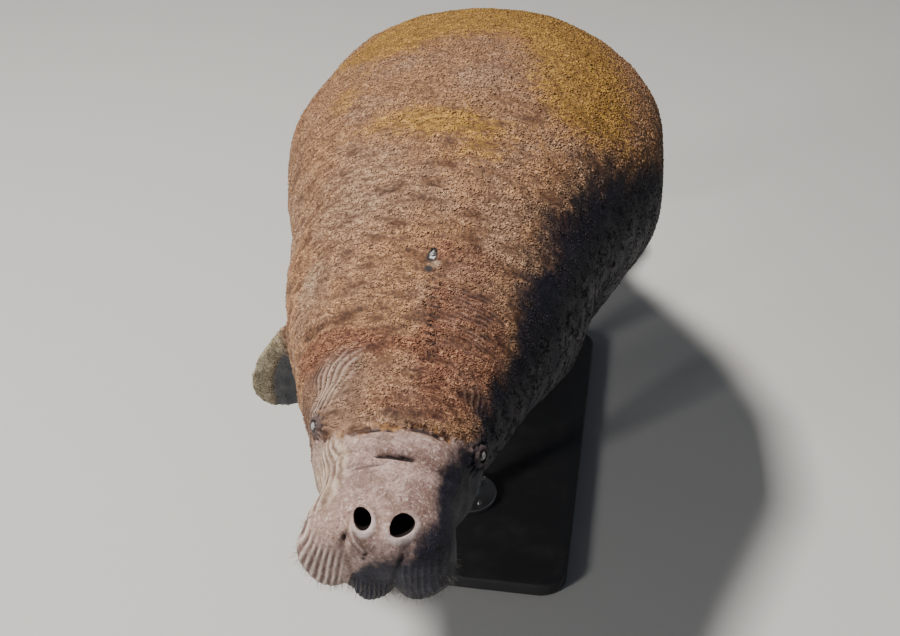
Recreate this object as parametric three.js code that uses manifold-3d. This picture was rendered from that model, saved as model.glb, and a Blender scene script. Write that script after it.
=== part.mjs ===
// A life-size Florida manatee on a display stand, resting as it does at the surface: nose up,
// back arched and tail hanging. Millimetres, +Z up. The animal faces -Y, so its left side is +X.
// The origin is on the floor, under the middle of the whole model's box.
import * as THREE from 'three';
import { mergeVertices } from 'three/addons/utils/BufferGeometryUtils.js';
import Module from 'manifold-3d';

const wasm = await Module();
wasm.setup();

// Driving sizes. A station is a distance from the nose along the spine.
const bodyLength = 2950;
const noseCapLength = 62; // the blunt front of the muzzle
const tailCapLength = 250; // the rounded end of the paddle
const seam = 0.3; // the gap that touching pieces keep

// Stations where one named part ends and the next begins.
const muzzleEnd = 148;
const headEnd = 330;
const neckEnd = 480;
const chestEnd = 900;
const bellyEnd = 1420;
const rumpEnd = 1850;
const tailStockEnd = 2250;

// The body's sections: half width, height over the spine, depth under it, and squareness.
const sections = [
  { s: 0, half: 116, rise: 66, drop: 92, square: 2.8 },
  { s: 62, half: 118, rise: 76, drop: 98, square: 2.6 },
  { s: 125, half: 109, rise: 82, drop: 106, square: 2.4 },
  { s: 185, half: 120, rise: 92, drop: 114, square: 2.3 },
  { s: 250, half: 144, rise: 108, drop: 126, square: 2.2 },
  { s: 340, half: 180, rise: 135, drop: 150, square: 2.15 },
  { s: 450, half: 220, rise: 171, drop: 186, square: 2.1 },
  { s: 600, half: 268, rise: 213, drop: 232, square: 2.1 },
  { s: 800, half: 316, rise: 258, drop: 284, square: 2.1 },
  { s: 1000, half: 380, rise: 298, drop: 322, square: 2.1 },
  { s: 1180, half: 421, rise: 321, drop: 342, square: 2.1 },
  { s: 1400, half: 414, rise: 317, drop: 336, square: 2.1 },
  { s: 1600, half: 374, rise: 287, drop: 300, square: 2.1 },
  { s: 1800, half: 306, rise: 237, drop: 242, square: 2.1 },
  { s: 2000, half: 242, rise: 178, drop: 178, square: 2.1 },
  { s: 2150, half: 204, rise: 132, drop: 128, square: 2.1 },
  { s: 2270, half: 199, rise: 98, drop: 92, square: 2.0 },
  { s: 2420, half: 252, rise: 66, drop: 60, square: 1.9 },
  { s: 2580, half: 318, rise: 46, drop: 42, square: 1.8 },
  { s: 2720, half: 334, rise: 35, drop: 31, square: 1.8 },
  { s: bodyLength, half: 318, rise: 24, drop: 22, square: 1.8 },
];

// How the spine runs: its climb towards the tail, the head's roll, and its sway to the animal's left.
const spineBends = [
  { s: 0, climb: 24, roll: 8, sway: 2 },
  { s: 140, climb: 8, roll: 8, sway: 8 },
  { s: 300, climb: 0, roll: 4, sway: -8 },
  { s: 450, climb: 3, roll: 0, sway: -15 },
  { s: 700, climb: 5, roll: 0, sway: -12 },
  { s: 950, climb: 4, roll: 0, sway: -6 },
  { s: 1200, climb: -3, roll: 0, sway: 0 },
  { s: 1500, climb: -14, roll: 0, sway: 0 },
  { s: 1800, climb: -27, roll: 0, sway: 0 },
  { s: 2100, climb: -37, roll: 0, sway: 0 },
  { s: 2400, climb: -41, roll: 0, sway: 0 },
  { s: 2700, climb: -38, roll: 0, sway: 0 },
  { s: bodyLength, climb: -33, roll: 0, sway: 0 },
];

// Swellings and hollows of the flesh. Each has its middle (station, side, height), how far it
// reaches each way, and how far it stands out. The paired ones are on both sides.
const mounds = [
  { what: 'side lip pad', at: [34, 98, -38], reach: [40, 42, 44], out: 18, paired: true },
  { what: 'lip edge', at: [10, 70, -80], reach: [38, 32, 32], out: 16, paired: true },
  { what: 'middle lobe of the lip', at: [10, 0, -80], reach: [34, 32, 38], out: 30 },
  { what: 'cleft beside the lobe', at: [6, 40, -84], reach: [36, 10, 34], out: -10, paired: true },
  { what: 'philtrum', at: [12, 0, 32], reach: [14, 12, 13], out: -5 },
  { what: 'nose pad', at: [26, 0, 56], reach: [26, 28, 24], out: 5 },
  { what: 'crease beside the nose pad', at: [22, 47, 44], reach: [20, 9, 22], out: -6, paired: true },
  { what: 'bridge', at: [82, 0, 78], reach: [40, 30, 26], out: 5 },
  { what: 'nostril mound', at: [47, 32, 72], reach: [28, 24, 26], out: 9, paired: true },
  { what: 'cheek', at: [195, 124, -46], reach: [64, 46, 44], out: 17, paired: true },
  { what: 'eye mound', at: [238, 136, 32], reach: [36, 40, 34], out: 9, paired: true },
  { what: 'brow', at: [228, 78, 98], reach: [40, 40, 34], out: 5, paired: true },
  { what: 'chin', at: [96, 0, -108], reach: [40, 62, 30], out: 8 },
  { what: 'shoulder', at: [690, 262, -150], reach: [120, 90, 100], out: 18, paired: true },
  { what: 'armpit', at: [830, 300, -130], reach: [60, 80, 90], out: -12, paired: true },
];

// Folds over the head and neck: depth, half width of the groove, and how far down the side each runs.
const folds = [
  { s: 156, deep: 7, wide: 8, down: 0.55 },
  { s: 206, deep: 5, wide: 13, down: -0.4 },
  { s: 300, deep: 6, wide: 14, down: -0.7 },
  { s: 356, deep: 6, wide: 16, down: -0.9 },
  { s: 425, deep: 5, wide: 18, down: -0.9 },
];

// The face.
const nostril = { s: 50, side: 31, up: 74, wide: 14, long: 18, deep: 36, slant: 30 };
const nostrilRim = { wide: 18, long: 22, thick: 6.5, sunk: 5 };
const mouth = { height: -64, droop: 16, lobe: 18, gap: 4, ahead: 60, halfWidth: 190, steps: 24, depth: 400 };
const jaw = { setBack: 16, narrowed: 0.88 };
const eye = { s: 238, height: 34, radius: 12, sunk: 6 };
const eyelid = { ringRadius: 13.5, thick: 5, squash: 0.78, sunk: 2.5 };

// The flippers, by three places in body measures each: shoulder, elbow and tip.
const flipperSections = [
  { s: 0, chord: 62, thick: 44 },
  { s: 0.16, chord: 66, thick: 40 },
  { s: 0.34, chord: 68, thick: 31 },
  { s: 0.55, chord: 78, thick: 23 },
  { s: 0.75, chord: 86, thick: 17 },
  { s: 0.9, chord: 84, thick: 13 },
  { s: 1, chord: 78, thick: 11 },
];
const flippers = [
  {
    name: 'flipper_right',
    shoulder: [706, -215, -108],
    elbow: [735, -350, -168],
    tip: [845, -362, -448],
    dorsal: [-0.35, 0.85, 0.35],
  },
  {
    name: 'flipper_left',
    shoulder: [690, 170, -160],
    elbow: [740, 190, -300],
    tip: [910, 105, -430],
    dorsal: [0.75, -0.1, -0.65],
  },
];
const flipperCap = 0.2; // the share of the flipper that rounds off at the tip
const flipperRows = 14;
const flipperAround = 18;
const nail = { count: 3, long: 17, wide: 11, thick: 4.5, from: 0.93, curve: 0.035, apart: 30 };

// The stand: a flat base and two rods, each with a foot plate and a flared cup under the belly.
const base = { width: 540, length: 1080, thick: 36, corner: 60, bevel: 6 };
const rod = { radius: 25, foot: 78, footThick: 14, cup: 74, cupTall: 60, stations: [1070, 1590] };
const tailClearance = 46; // from the lowest point of the tail to the floor
const rodSides = 24;

const radians = THREE.MathUtils.degToRad;
const clamp = THREE.MathUtils.clamp;

// A curve through listed values that never overshoots them.
function smoothThrough(list, key) {
  const slopes = list.slice(1).map((b, i) => (b[key] - list[i][key]) / (b.s - list[i].s));
  const tangents = list.map((_, i) => {
    const before = slopes[Math.max(i - 1, 0)];
    const after = slopes[Math.min(i, slopes.length - 1)];
    return before * after <= 0 ? 0 : (2 * before * after) / (before + after);
  });
  return (s) => {
    const next = list.findIndex((b) => b.s > s);
    const i = next < 0 ? list.length - 2 : Math.max(0, next - 1);
    const span = list[i + 1].s - list[i].s;
    const t = clamp((s - list[i].s) / span, 0, 1);
    return (
      list[i][key] * (1 + 2 * t) * (1 - t) ** 2 +
      span * tangents[i] * t * (1 - t) ** 2 +
      list[i + 1][key] * t * t * (3 - 2 * t) +
      span * tangents[i + 1] * t * t * (t - 1)
    );
  };
}

const halfAt = smoothThrough(sections, 'half');
const riseAt = smoothThrough(sections, 'rise');
const dropAt = smoothThrough(sections, 'drop');
const squareAt = smoothThrough(sections, 'square');
const climbAt = smoothThrough(spineBends, 'climb');
const rollAt = smoothThrough(spineBends, 'roll');
const swayAt = smoothThrough(spineBends, 'sway');

// The spine, added up in short steps from the nose.
const spineStep = 5;
const spinePoints = [{ y: 0, z: 0 }];
for (let s = 0; s < bodyLength; s += spineStep) {
  const angle = radians(climbAt(s + spineStep / 2));
  const from = spinePoints[spinePoints.length - 1];
  spinePoints.push({ y: from.y + spineStep * Math.cos(angle), z: from.z + spineStep * Math.sin(angle) });
}

// From body measures (station, side, height over the spine) to a place in space.
function placeOf(s, side, up) {
  const i = clamp(Math.floor(s / spineStep), 0, spinePoints.length - 2);
  const t = s / spineStep - i;
  const a = spinePoints[i];
  const b = spinePoints[i + 1];
  const climb = radians(climbAt(s));
  const roll = radians(rollAt(s));
  const across = side * Math.cos(roll) + up * Math.sin(roll);
  const over = up * Math.cos(roll) - side * Math.sin(roll);
  return new THREE.Vector3(
    across + swayAt(s),
    a.y + (b.y - a.y) * t - over * Math.sin(climb),
    a.z + (b.z - a.z) * t + over * Math.cos(climb),
  );
}

// A point of the smooth body without its swellings and folds.
function smoothBody(s, angle) {
  const nose = clamp(1 - s / noseCapLength, 0, 1);
  const tail = clamp(1 - (bodyLength - s) / tailCapLength, 0, 1);
  const noseShare = (1 - nose ** 2.7) ** (1 / 2.7);
  const power = 2 / squareAt(s);
  const c = Math.cos(angle);
  const d = Math.sin(angle);
  const side = Math.sign(c) * Math.abs(c) ** power * halfAt(s) * noseShare * Math.sqrt(1 - tail ** 2);
  const tall = (d > 0 ? riseAt(s) : dropAt(s)) * noseShare * (1 - tail ** 2) ** 0.4;
  const up = Math.sign(d) * Math.abs(d) ** power * tall;
  return { side, up, place: placeOf(s, side, up) };
}

// How far the skin stands out from the smooth body.
function reliefAt(s, side, up) {
  let out = 0;
  for (const m of mounds) {
    for (const hand of m.paired ? [1, -1] : [1]) {
      const far =
        ((s - m.at[0]) / m.reach[0]) ** 2 +
        ((side - hand * m.at[1]) / m.reach[1]) ** 2 +
        ((up - m.at[2]) / m.reach[2]) ** 2;
      out += m.out * Math.exp(-far);
    }
  }
  for (const f of folds) {
    const fade = THREE.MathUtils.smoothstep(up / riseAt(s), f.down - 0.15, f.down + 0.25);
    out -= f.deep * fade * Math.exp(-(((s - f.s) / f.wide) ** 2));
  }
  return out;
}

function skinPoint(s, angle, grow = 0) {
  const { side, up, place } = smoothBody(s, angle);
  const ahead = smoothBody(Math.min(s + 1, bodyLength - 0.01), angle).place;
  const behind = smoothBody(Math.max(s - 1, 0.01), angle).place;
  const turned = smoothBody(s, angle + 0.01).place.sub(smoothBody(s, angle - 0.01).place);
  const normal = ahead.sub(behind).cross(turned).normalize();
  return { place: place.addScaledVector(normal, reliefAt(s, side, up) + grow), normal };
}

// The point of the skin at a station and a height, on one side.
function skinAtHeight(s, height, hand) {
  const share = clamp(height / (height > 0 ? riseAt(s) : dropAt(s)), -1, 1);
  const up = Math.asin(Math.sign(share) * Math.abs(share) ** (squareAt(s) / 2));
  return skinPoint(s, hand > 0 ? up : Math.PI - up);
}

// The point of the upper skin at a station and a side.
function skinAtSide(s, side) {
  const share = clamp(side / halfAt(s), -1, 1);
  return skinPoint(s, Math.acos(Math.sign(share) * Math.abs(share) ** (squareAt(s) / 2)));
}

function solidFrom(vertices, faces) {
  const vertProperties = new Float32Array(vertices.flatMap((p) => [p.x, p.y, p.z]));
  return new wasm.Manifold(new wasm.Mesh({ numProp: 3, vertProperties, triVerts: new Uint32Array(faces) }));
}

// A closed solid from rings of points, each end closed by a fan round its middle point.
function solidFromRings(rings, first, last) {
  const count = rings[0].length;
  const at = (ring, i) => 1 + ring * count + (i % count);
  const end = 1 + rings.length * count;
  const faces = [];
  for (let i = 0; i < count; i++) {
    faces.push(0, at(0, i), at(0, i + 1));
    for (let r = 0; r + 1 < rings.length; r++) {
      faces.push(at(r, i), at(r + 1, i), at(r + 1, i + 1));
      faces.push(at(r, i), at(r + 1, i + 1), at(r, i + 1));
    }
    faces.push(end, at(rings.length - 1, i + 1), at(rings.length - 1, i));
  }
  return solidFrom([first, ...rings.flat(), last], faces);
}

// A three.js geometry as a solid.
function solidFromGeometry(geometry) {
  const plain = geometry.index ? geometry.toNonIndexed() : geometry.clone();
  const bare = new THREE.BufferGeometry().setAttribute('position', plain.getAttribute('position'));
  const merged = mergeVertices(bare, 1e-3);
  const places = merged.getAttribute('position');
  const corner = (_, i) => new THREE.Vector3().fromBufferAttribute(places, i);
  const vertices = Array.from({ length: places.count }, corner);
  return solidFrom(vertices, Array.from(merged.index.array));
}

// The biggest closed piece of a solid, without scraps.
function biggest(solid) {
  return solid.decompose().sort((a, b) => b.volume() - a.volume())[0];
}

// The stations of a part's rings, closer together towards the nose and the tail's tip.
function stationsOf(part) {
  const isNose = part.from <= 0;
  const isTail = part.to >= bodyLength;
  const stations = [];
  for (let r = isNose ? 1 : 0; r <= (isTail ? part.rows - 1 : part.rows); r++) {
    let t = r / part.rows;
    if (isNose) t = t ** 1.5;
    if (isTail) t = 1 - (1 - t) ** 1.6;
    stations.push(part.from + (part.to - part.from) * t);
  }
  return stations;
}

// The body through a list of stations. Its ends are flat, apart from the nose and the tail's tip.
function bodyThrough(stations, from, to, around, grow = 0) {
  const rings = stations.map((s) =>
    Array.from({ length: around }, (_, i) => skinPoint(s, (2 * Math.PI * i) / around, grow).place),
  );
  const first = placeOf(from, 0, 0);
  if (from <= 0) first.y -= reliefAt(0, 0, 0);
  return solidFromRings(rings, first, placeOf(to, 0, 0));
}

function bodyPart(part, around) {
  return bodyThrough(stationsOf(part), part.from, part.to, around);
}

// A shape stood on the skin: its middle at a place, its Z axis along a direction.
function stand(geometry, place, direction) {
  const turn = new THREE.Quaternion().setFromUnitVectors(new THREE.Vector3(0, 0, 1), direction);
  return geometry.applyMatrix4(new THREE.Matrix4().compose(place, turn, new THREE.Vector3(1, 1, 1)));
}

// One nostril: a round rim on the nose pad, and the passage that slants back under it.
function nostrilParts(hand) {
  const { place, normal } = skinAtSide(nostril.s, hand * nostril.side);
  const inside = placeOf(nostril.s + nostril.slant, hand * (nostril.side - 4), nostril.up - 40);
  const passage = new THREE.SphereGeometry(1, 18, 12).scale(nostril.wide, nostril.long, nostril.deep);
  const rim = new THREE.TorusGeometry(1, nostrilRim.thick / nostrilRim.wide, 6, 20);
  rim.scale(nostrilRim.wide, nostrilRim.long, nostrilRim.wide);
  const rimPlace = place.clone().addScaledVector(normal, -nostrilRim.sunk);
  return {
    rim: solidFromGeometry(stand(rim, rimPlace, normal)),
    passage: solidFromGeometry(stand(passage, place, place.clone().sub(inside).normalize())),
  };
}

// A sheet that droops to both sides, through the whole front of the face at the mouth's height.
function mouthSheet(thick) {
  const lanes = Array.from({ length: mouth.steps + 1 }, (_, i) => {
    const side = mouth.halfWidth * ((2 * i) / mouth.steps - 1);
    const droop = mouth.droop * Math.min(1, (side / 110) ** 2);
    return { side, height: mouth.height - droop - mouth.lobe * Math.exp(-((side / 36) ** 2)) };
  });
  const ahead = new THREE.Vector3(0, -mouth.ahead, 0);
  const front = (lane, lift) => placeOf(0, lane.side, lane.height + lift).add(ahead);
  const back = (lane, lift) => placeOf(muzzleEnd + 40, lane.side, lane.height + lift);
  const vertices = lanes.flatMap((lane) => [
    front(lane, -thick / 2),
    back(lane, -thick / 2),
    back(lane, thick / 2),
    front(lane, thick / 2),
  ]);
  const faces = [];
  for (let i = 0; i < mouth.steps; i++) {
    for (let k = 0; k < 4; k++) {
      const a = 4 * i + k;
      const b = 4 * i + ((k + 1) % 4);
      faces.push(a, b + 4, a + 4, a, b, b + 4);
    }
  }
  const last = 4 * mouth.steps;
  faces.push(0, 2, 1, 0, 3, 2, last, last + 1, last + 2, last, last + 2, last + 3);
  return solidFrom(vertices, faces);
}

function eyeParts(hand) {
  const { place, normal } = skinAtHeight(eye.s, eye.height, hand);
  const centre = place.clone().addScaledVector(normal, -eye.sunk);
  const ball = new THREE.SphereGeometry(eye.radius, 16, 10).translate(centre.x, centre.y, centre.z);
  const socket = new THREE.SphereGeometry(eye.radius + seam, 16, 10).translate(centre.x, centre.y, centre.z);
  const ring = new THREE.TorusGeometry(eyelid.ringRadius, eyelid.thick, 7, 22).scale(1, eyelid.squash, 1);
  const ringPlace = place.clone().addScaledVector(normal, -eyelid.sunk);
  return {
    ball: solidFromGeometry(ball),
    socket: solidFromGeometry(socket),
    lids: solidFromGeometry(stand(ring, ringPlace, normal)),
  };
}

// One flipper: a flat limb along a bent line, thick at the shoulder and round at the tip.
function flipperParts(f) {
  const chordAt = smoothThrough(flipperSections, 'chord');
  const thickAt = smoothThrough(flipperSections, 'thick');
  const [shoulder, elbow, tip] = [f.shoulder, f.elbow, f.tip].map((at) => placeOf(...at));
  const line = new THREE.QuadraticBezierCurve3(shoulder, elbow, tip);
  const dorsal = new THREE.Vector3(...f.dorsal);
  const roundAt = (t) => Math.sqrt(1 - clamp((t - 1 + flipperCap) / flipperCap, 0, 1) ** 2.4);
  const frameAt = (t) => {
    const along = line.getTangent(t);
    const face = dorsal.clone().addScaledVector(along, -dorsal.dot(along)).normalize();
    return { centre: line.getPoint(t), along, face, edge: along.clone().cross(face) };
  };
  const pointOf = (t, across, over) => {
    const { centre, face, edge } = frameAt(t);
    return centre.addScaledVector(edge, across).addScaledVector(face, over);
  };
  const rings = Array.from({ length: flipperRows }, (_, r) => {
    const t = Math.min(r / (flipperRows - 1), 0.995) ** 0.9;
    return Array.from({ length: flipperAround }, (_, i) => {
      const angle = (2 * Math.PI * i) / flipperAround;
      const across = chordAt(t) * roundAt(t) * Math.cos(angle);
      return pointOf(t, across, thickAt(t) * roundAt(t) ** 0.6 * Math.sin(angle));
    });
  });
  // Flat nails in a row along the tip, on the outer face.
  const nails = Array.from({ length: nail.count }, (_, i) => {
    const lane = i - (nail.count - 1) / 2;
    const t = nail.from - nail.curve * Math.abs(lane);
    const { along, face, edge } = frameAt(t);
    const turn = new THREE.Matrix4().makeBasis(edge, along, face);
    turn.setPosition(pointOf(t, lane * nail.apart, thickAt(t) * roundAt(t) ** 0.6 - 1));
    const shape = new THREE.SphereGeometry(1, 8, 6).scale(nail.wide, nail.long, nail.thick);
    return solidFromGeometry(shape.applyMatrix4(turn));
  });
  return { limb: solidFromRings(rings, line.getPoint(0), line.getPoint(1)), nails };
}

const group = new THREE.Group();

function addNode(name, solid, look) {
  const m = solid.getMesh();
  const places = new Float32Array(m.numVert * 3);
  for (let i = 0; i < m.numVert; i++) {
    places.set(m.vertProperties.subarray(i * m.numProp, i * m.numProp + 3), i * 3);
  }
  const geometry = new THREE.BufferGeometry();
  geometry.setAttribute('position', new THREE.BufferAttribute(places, 3));
  geometry.setIndex(new THREE.BufferAttribute(m.triVerts, 1));
  geometry.computeVertexNormals();
  const mesh = new THREE.Mesh(geometry, look);
  mesh.name = name;
  group.add(mesh);
}

const bareSkin = new THREE.MeshStandardMaterial({ color: '#9b877d', roughness: 0.6, metalness: 0 });
const algaeSkin = new THREE.MeshStandardMaterial({ color: '#8a6d49', roughness: 0.85, metalness: 0 });
const darkEye = new THREE.MeshStandardMaterial({ color: '#1a1512', roughness: 0.15, metalness: 0 });
const paintedBase = new THREE.MeshStandardMaterial({ color: '#2b2c2e', roughness: 0.5, metalness: 0 });
const steel = new THREE.MeshStandardMaterial({ color: '#8d9093', roughness: 0.35, metalness: 1 });

const headAround = 56;
const torsoAround = 40;

// Muzzle and lower jaw. The jaw is what lies under the mouth, narrower and set back.
const front = bodyPart({ from: 0, to: muzzleEnd - seam, rows: 22 }, headAround);
const underTheMouth = mouthSheet(mouth.depth).translate([0, 0, -mouth.depth / 2]);
const nostrils = [-1, 1].map(nostrilParts);
let muzzle = front;
for (const n of nostrils) muzzle = muzzle.add(n.rim);
for (const n of nostrils) muzzle = muzzle.subtract(n.passage);
muzzle = muzzle.subtract(underTheMouth).subtract(mouthSheet(mouth.gap));
addNode('muzzle', biggest(muzzle), bareSkin);
const lowerJaw = front
  .scale([jaw.narrowed, 1, 1])
  .translate([0, jaw.setBack, 0])
  .intersect(front)
  .intersect(underTheMouth.translate([0, 0, -mouth.gap / 2]));
addNode('lower_jaw', biggest(lowerJaw), bareSkin);

// Head and eyes.
const eyes = { left: eyeParts(1), right: eyeParts(-1) };
let head = bodyPart({ from: muzzleEnd, to: headEnd - seam, rows: 18 }, headAround);
for (const e of Object.values(eyes)) head = head.add(e.lids).subtract(e.socket);
addNode('head', biggest(head), bareSkin);
addNode('eye_left', eyes.left.ball, darkEye);
addNode('eye_right', eyes.right.ball, darkEye);

// The body's lengths, each meeting the next face to face.
const lengths = [
  { name: 'neck', from: headEnd, to: neckEnd - seam, rows: 8 },
  { name: 'chest', from: neckEnd, to: chestEnd - seam, rows: 9 },
  { name: 'belly', from: chestEnd, to: bellyEnd - seam, rows: 7 },
  { name: 'rump', from: bellyEnd, to: rumpEnd - seam, rows: 7 },
  { name: 'tail_stock', from: rumpEnd, to: tailStockEnd - seam, rows: 7 },
  { name: 'tail_paddle', from: tailStockEnd, to: bodyLength, rows: 14 },
];
for (const part of lengths) addNode(part.name, bodyPart(part, torsoAround), algaeSkin);

// The torso with a seam's clearance, for cutting what stands against it.
const torsoStations = lengths.slice(0, 5).flatMap(stationsOf);
const torsoGrown = bodyThrough(torsoStations, headEnd, tailStockEnd, torsoAround, seam);

// Flippers, cut clear of the body that they grow from.
for (const f of flippers) {
  const { limb, nails } = flipperParts(f);
  const whole = nails.reduce((solid, piece) => solid.add(piece), limb);
  addNode(f.name, biggest(whole.subtract(torsoGrown)), algaeSkin);
}

// The floor lies just under the hanging tail.
const box = new THREE.Box3().setFromObject(group);
const floor = box.min.z - tailClearance;

function standBase() {
  const outline = new THREE.Shape();
  const w = base.width / 2;
  const l = base.length / 2;
  const r = base.corner;
  outline.absarc(w - r, l - r, r, 0, Math.PI / 2);
  outline.absarc(r - w, l - r, r, Math.PI / 2, Math.PI);
  outline.absarc(r - w, r - l, r, Math.PI, 1.5 * Math.PI);
  outline.absarc(w - r, r - l, r, 1.5 * Math.PI, 2 * Math.PI);
  const middle = (placeOf(rod.stations[0], 0, 0).y + placeOf(rod.stations[1], 0, 0).y) / 2;
  const plate = new THREE.ExtrudeGeometry(outline, {
    depth: base.thick - 2 * base.bevel,
    bevelSize: base.bevel,
    bevelThickness: base.bevel,
    bevelSegments: 1,
    curveSegments: 5,
  });
  plate.translate(0, middle, floor + base.bevel);
  return solidFromGeometry(plate);
}

// A turned rod: foot plate, shaft, and a flare that cups the belly.
function standRod(station) {
  const { radius, foot, footThick, cup, cupTall } = rod;
  const low = floor + base.thick + seam;
  const belly = placeOf(station, 0, -dropAt(station));
  const profile = [
    [0, low],
    [foot - 3, low],
    [foot, low + 3],
    [foot, low + footThick],
    [radius + 10, low + footThick + 4],
    [radius, low + footThick + 16],
    [radius, belly.z - cupTall],
    [radius + 8, belly.z - cupTall * 0.55],
    [cup * 0.7, belly.z - cupTall * 0.25],
    [cup, belly.z - 6],
    [cup, belly.z + 2 * cupTall],
    [0, belly.z + 2 * cupTall],
  ];
  const turned = new THREE.LatheGeometry(profile.map(([x, z]) => new THREE.Vector2(x, z)), rodSides);
  turned.rotateX(Math.PI / 2).translate(0, placeOf(station, 0, 0).y, 0);
  return solidFromGeometry(turned).subtract(torsoGrown);
}

addNode('stand_base', standBase(), paintedBase);
addNode('stand_rod_front', biggest(standRod(rod.stations[0])), steel);
addNode('stand_rod_rear', biggest(standRod(rod.stations[1])), steel);

// The origin goes to the floor, under the middle of the whole.

const whole = new THREE.Box3().setFromObject(group);
group.position.set(-(whole.min.x + whole.max.x) / 2, -(whole.min.y + whole.max.y) / 2, -whole.min.z);

export default group;
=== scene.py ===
import math

import bmesh
import bpy
import numpy as np
from mathutils import Matrix, Vector, kdtree, noise


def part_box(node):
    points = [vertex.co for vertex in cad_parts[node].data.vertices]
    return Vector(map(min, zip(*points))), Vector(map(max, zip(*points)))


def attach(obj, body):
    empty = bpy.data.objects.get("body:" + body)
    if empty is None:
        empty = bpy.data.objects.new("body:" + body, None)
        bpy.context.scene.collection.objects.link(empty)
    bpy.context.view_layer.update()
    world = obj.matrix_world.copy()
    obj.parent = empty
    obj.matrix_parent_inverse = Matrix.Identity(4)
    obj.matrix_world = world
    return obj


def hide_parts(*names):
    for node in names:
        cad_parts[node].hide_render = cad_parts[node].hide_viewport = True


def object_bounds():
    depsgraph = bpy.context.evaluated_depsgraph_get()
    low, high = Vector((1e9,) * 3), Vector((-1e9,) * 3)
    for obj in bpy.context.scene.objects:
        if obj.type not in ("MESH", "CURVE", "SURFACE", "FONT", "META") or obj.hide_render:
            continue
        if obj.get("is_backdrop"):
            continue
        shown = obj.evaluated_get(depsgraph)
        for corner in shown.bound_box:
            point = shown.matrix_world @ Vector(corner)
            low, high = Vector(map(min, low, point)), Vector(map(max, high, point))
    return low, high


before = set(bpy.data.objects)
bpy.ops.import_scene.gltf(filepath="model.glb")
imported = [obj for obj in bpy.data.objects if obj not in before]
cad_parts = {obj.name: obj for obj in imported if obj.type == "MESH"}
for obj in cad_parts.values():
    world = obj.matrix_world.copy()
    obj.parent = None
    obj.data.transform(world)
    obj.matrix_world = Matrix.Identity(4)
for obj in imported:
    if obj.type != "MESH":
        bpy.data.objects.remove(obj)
cad_low, cad_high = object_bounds()

# Stand base. A shallow closed box of thin steel sheet with rounded corners, powder-coated
# dark grey, that lies on the floor and carries the whole weight of the figure.


def only(*things):
    """Leave just these objects selected, the first one active."""
    if bpy.context.object and bpy.context.object.mode == "EDIT":
        bpy.ops.object.mode_set(mode="OBJECT")
    bpy.ops.object.select_all(action="DESELECT")
    for thing in things:
        thing.select_set(True)
    bpy.context.view_layer.objects.active = things[0]


def add(name, primitive, location=(0, 0, 0), **how):
    """Add a primitive with nothing else selected, its place and size kept in its mesh."""
    bpy.ops.object.select_all(action="DESELECT")
    primitive(location=location, **how)
    bpy.ops.object.transform_apply(location=True, rotation=True, scale=True)
    made = bpy.context.object
    made.name = made.data.name = name
    return made


def pick(thing, faces=None, edges=None):
    """Select faces or edges of a mesh by a test, and stay in edit mode."""
    only(thing)
    bpy.ops.object.mode_set(mode="EDIT")
    bpy.ops.mesh.select_mode(type="FACE" if faces else "EDGE")
    bpy.ops.mesh.select_all(action="DESELECT")
    mesh = bmesh.from_edit_mesh(thing.data)
    for part in mesh.faces if faces else mesh.edges:
        if (faces or edges)(part):
            part.select_set(True)
    mesh.select_flush_mode()
    bmesh.update_edit_mesh(thing.data)


def rise_of(edge):
    return abs(edge.verts[0].co.z - edge.verts[1].co.z)


def done_editing(thing, smooth_under=35):
    only(thing)
    bpy.ops.object.shade_smooth_by_angle(angle=math.radians(smooth_under))


def new_finish(name):
    """Start a finish. The nodes made after this go into it."""
    global finish
    finish = bpy.data.materials.new(name)
    finish.use_nodes = True
    return finish


def feed(made, sockets):
    """Fill a node's sockets, each given by its name, or as i0, i1 by its place."""
    for key, value in sockets.items():
        is_place = key[0] == "i" and key[1:].isdigit()
        socket = made.inputs[int(key[1:]) if is_place else key.replace("_", " ")]
        if isinstance(value, bpy.types.NodeSocket):
            finish.node_tree.links.new(value, socket)
        else:
            socket.default_value = value


def node(kind, settings=None, **sockets):
    made = finish.node_tree.nodes.new("ShaderNode" + kind)
    for key, value in (settings or {}).items():
        setattr(made, key, value)
    feed(made, sockets)
    return made


def shader(**sockets):
    """Feed the finish's own shader."""
    feed(finish.node_tree.nodes["Principled BSDF"], sockets)


def cloudy(where, scale, detail=2.0, rough=0.5):
    return node("TexNoise", Vector=where, Scale=scale, Detail=detail, Roughness=rough).outputs[0]


def bump(strength, distance, height):
    return node("Bump", Strength=strength, Distance=distance, Height=height).outputs[0]


def layer(amount, under, over, way="MIX"):
    """One colour laid over another, by an amount."""
    rgb = lambda c: c if isinstance(c, bpy.types.NodeSocket) else (*c, 1)
    settings = {"data_type": "RGBA", "blend_type": way}
    return node("Mix", settings, i0=amount, i6=rgb(under), i7=rgb(over)).outputs[2]


def between(value, low, high, to_low=0.0, to_high=1.0):
    """A value's range brought to another range, softly."""
    settings = {"interpolation_type": "SMOOTHSTEP"}
    return node("MapRange", settings, i0=value, i1=low, i2=high, i3=to_low, i4=to_high).outputs[0]


low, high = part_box("stand_base")
plate = add("base_plate", bpy.ops.mesh.primitive_cube_add, (low + high) / 2, size=1, scale=high - low)
pick(plate, edges=lambda e: rise_of(e) > 0.02)
bpy.ops.mesh.bevel(offset=0.066, segments=10, affect="EDGES")
pick(plate, faces=lambda f: abs(f.normal.z) > 0.9)
bpy.ops.mesh.region_to_loop()
bpy.ops.mesh.bevel(offset=0.006, segments=3, affect="EDGES")
done_editing(plate)

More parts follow.
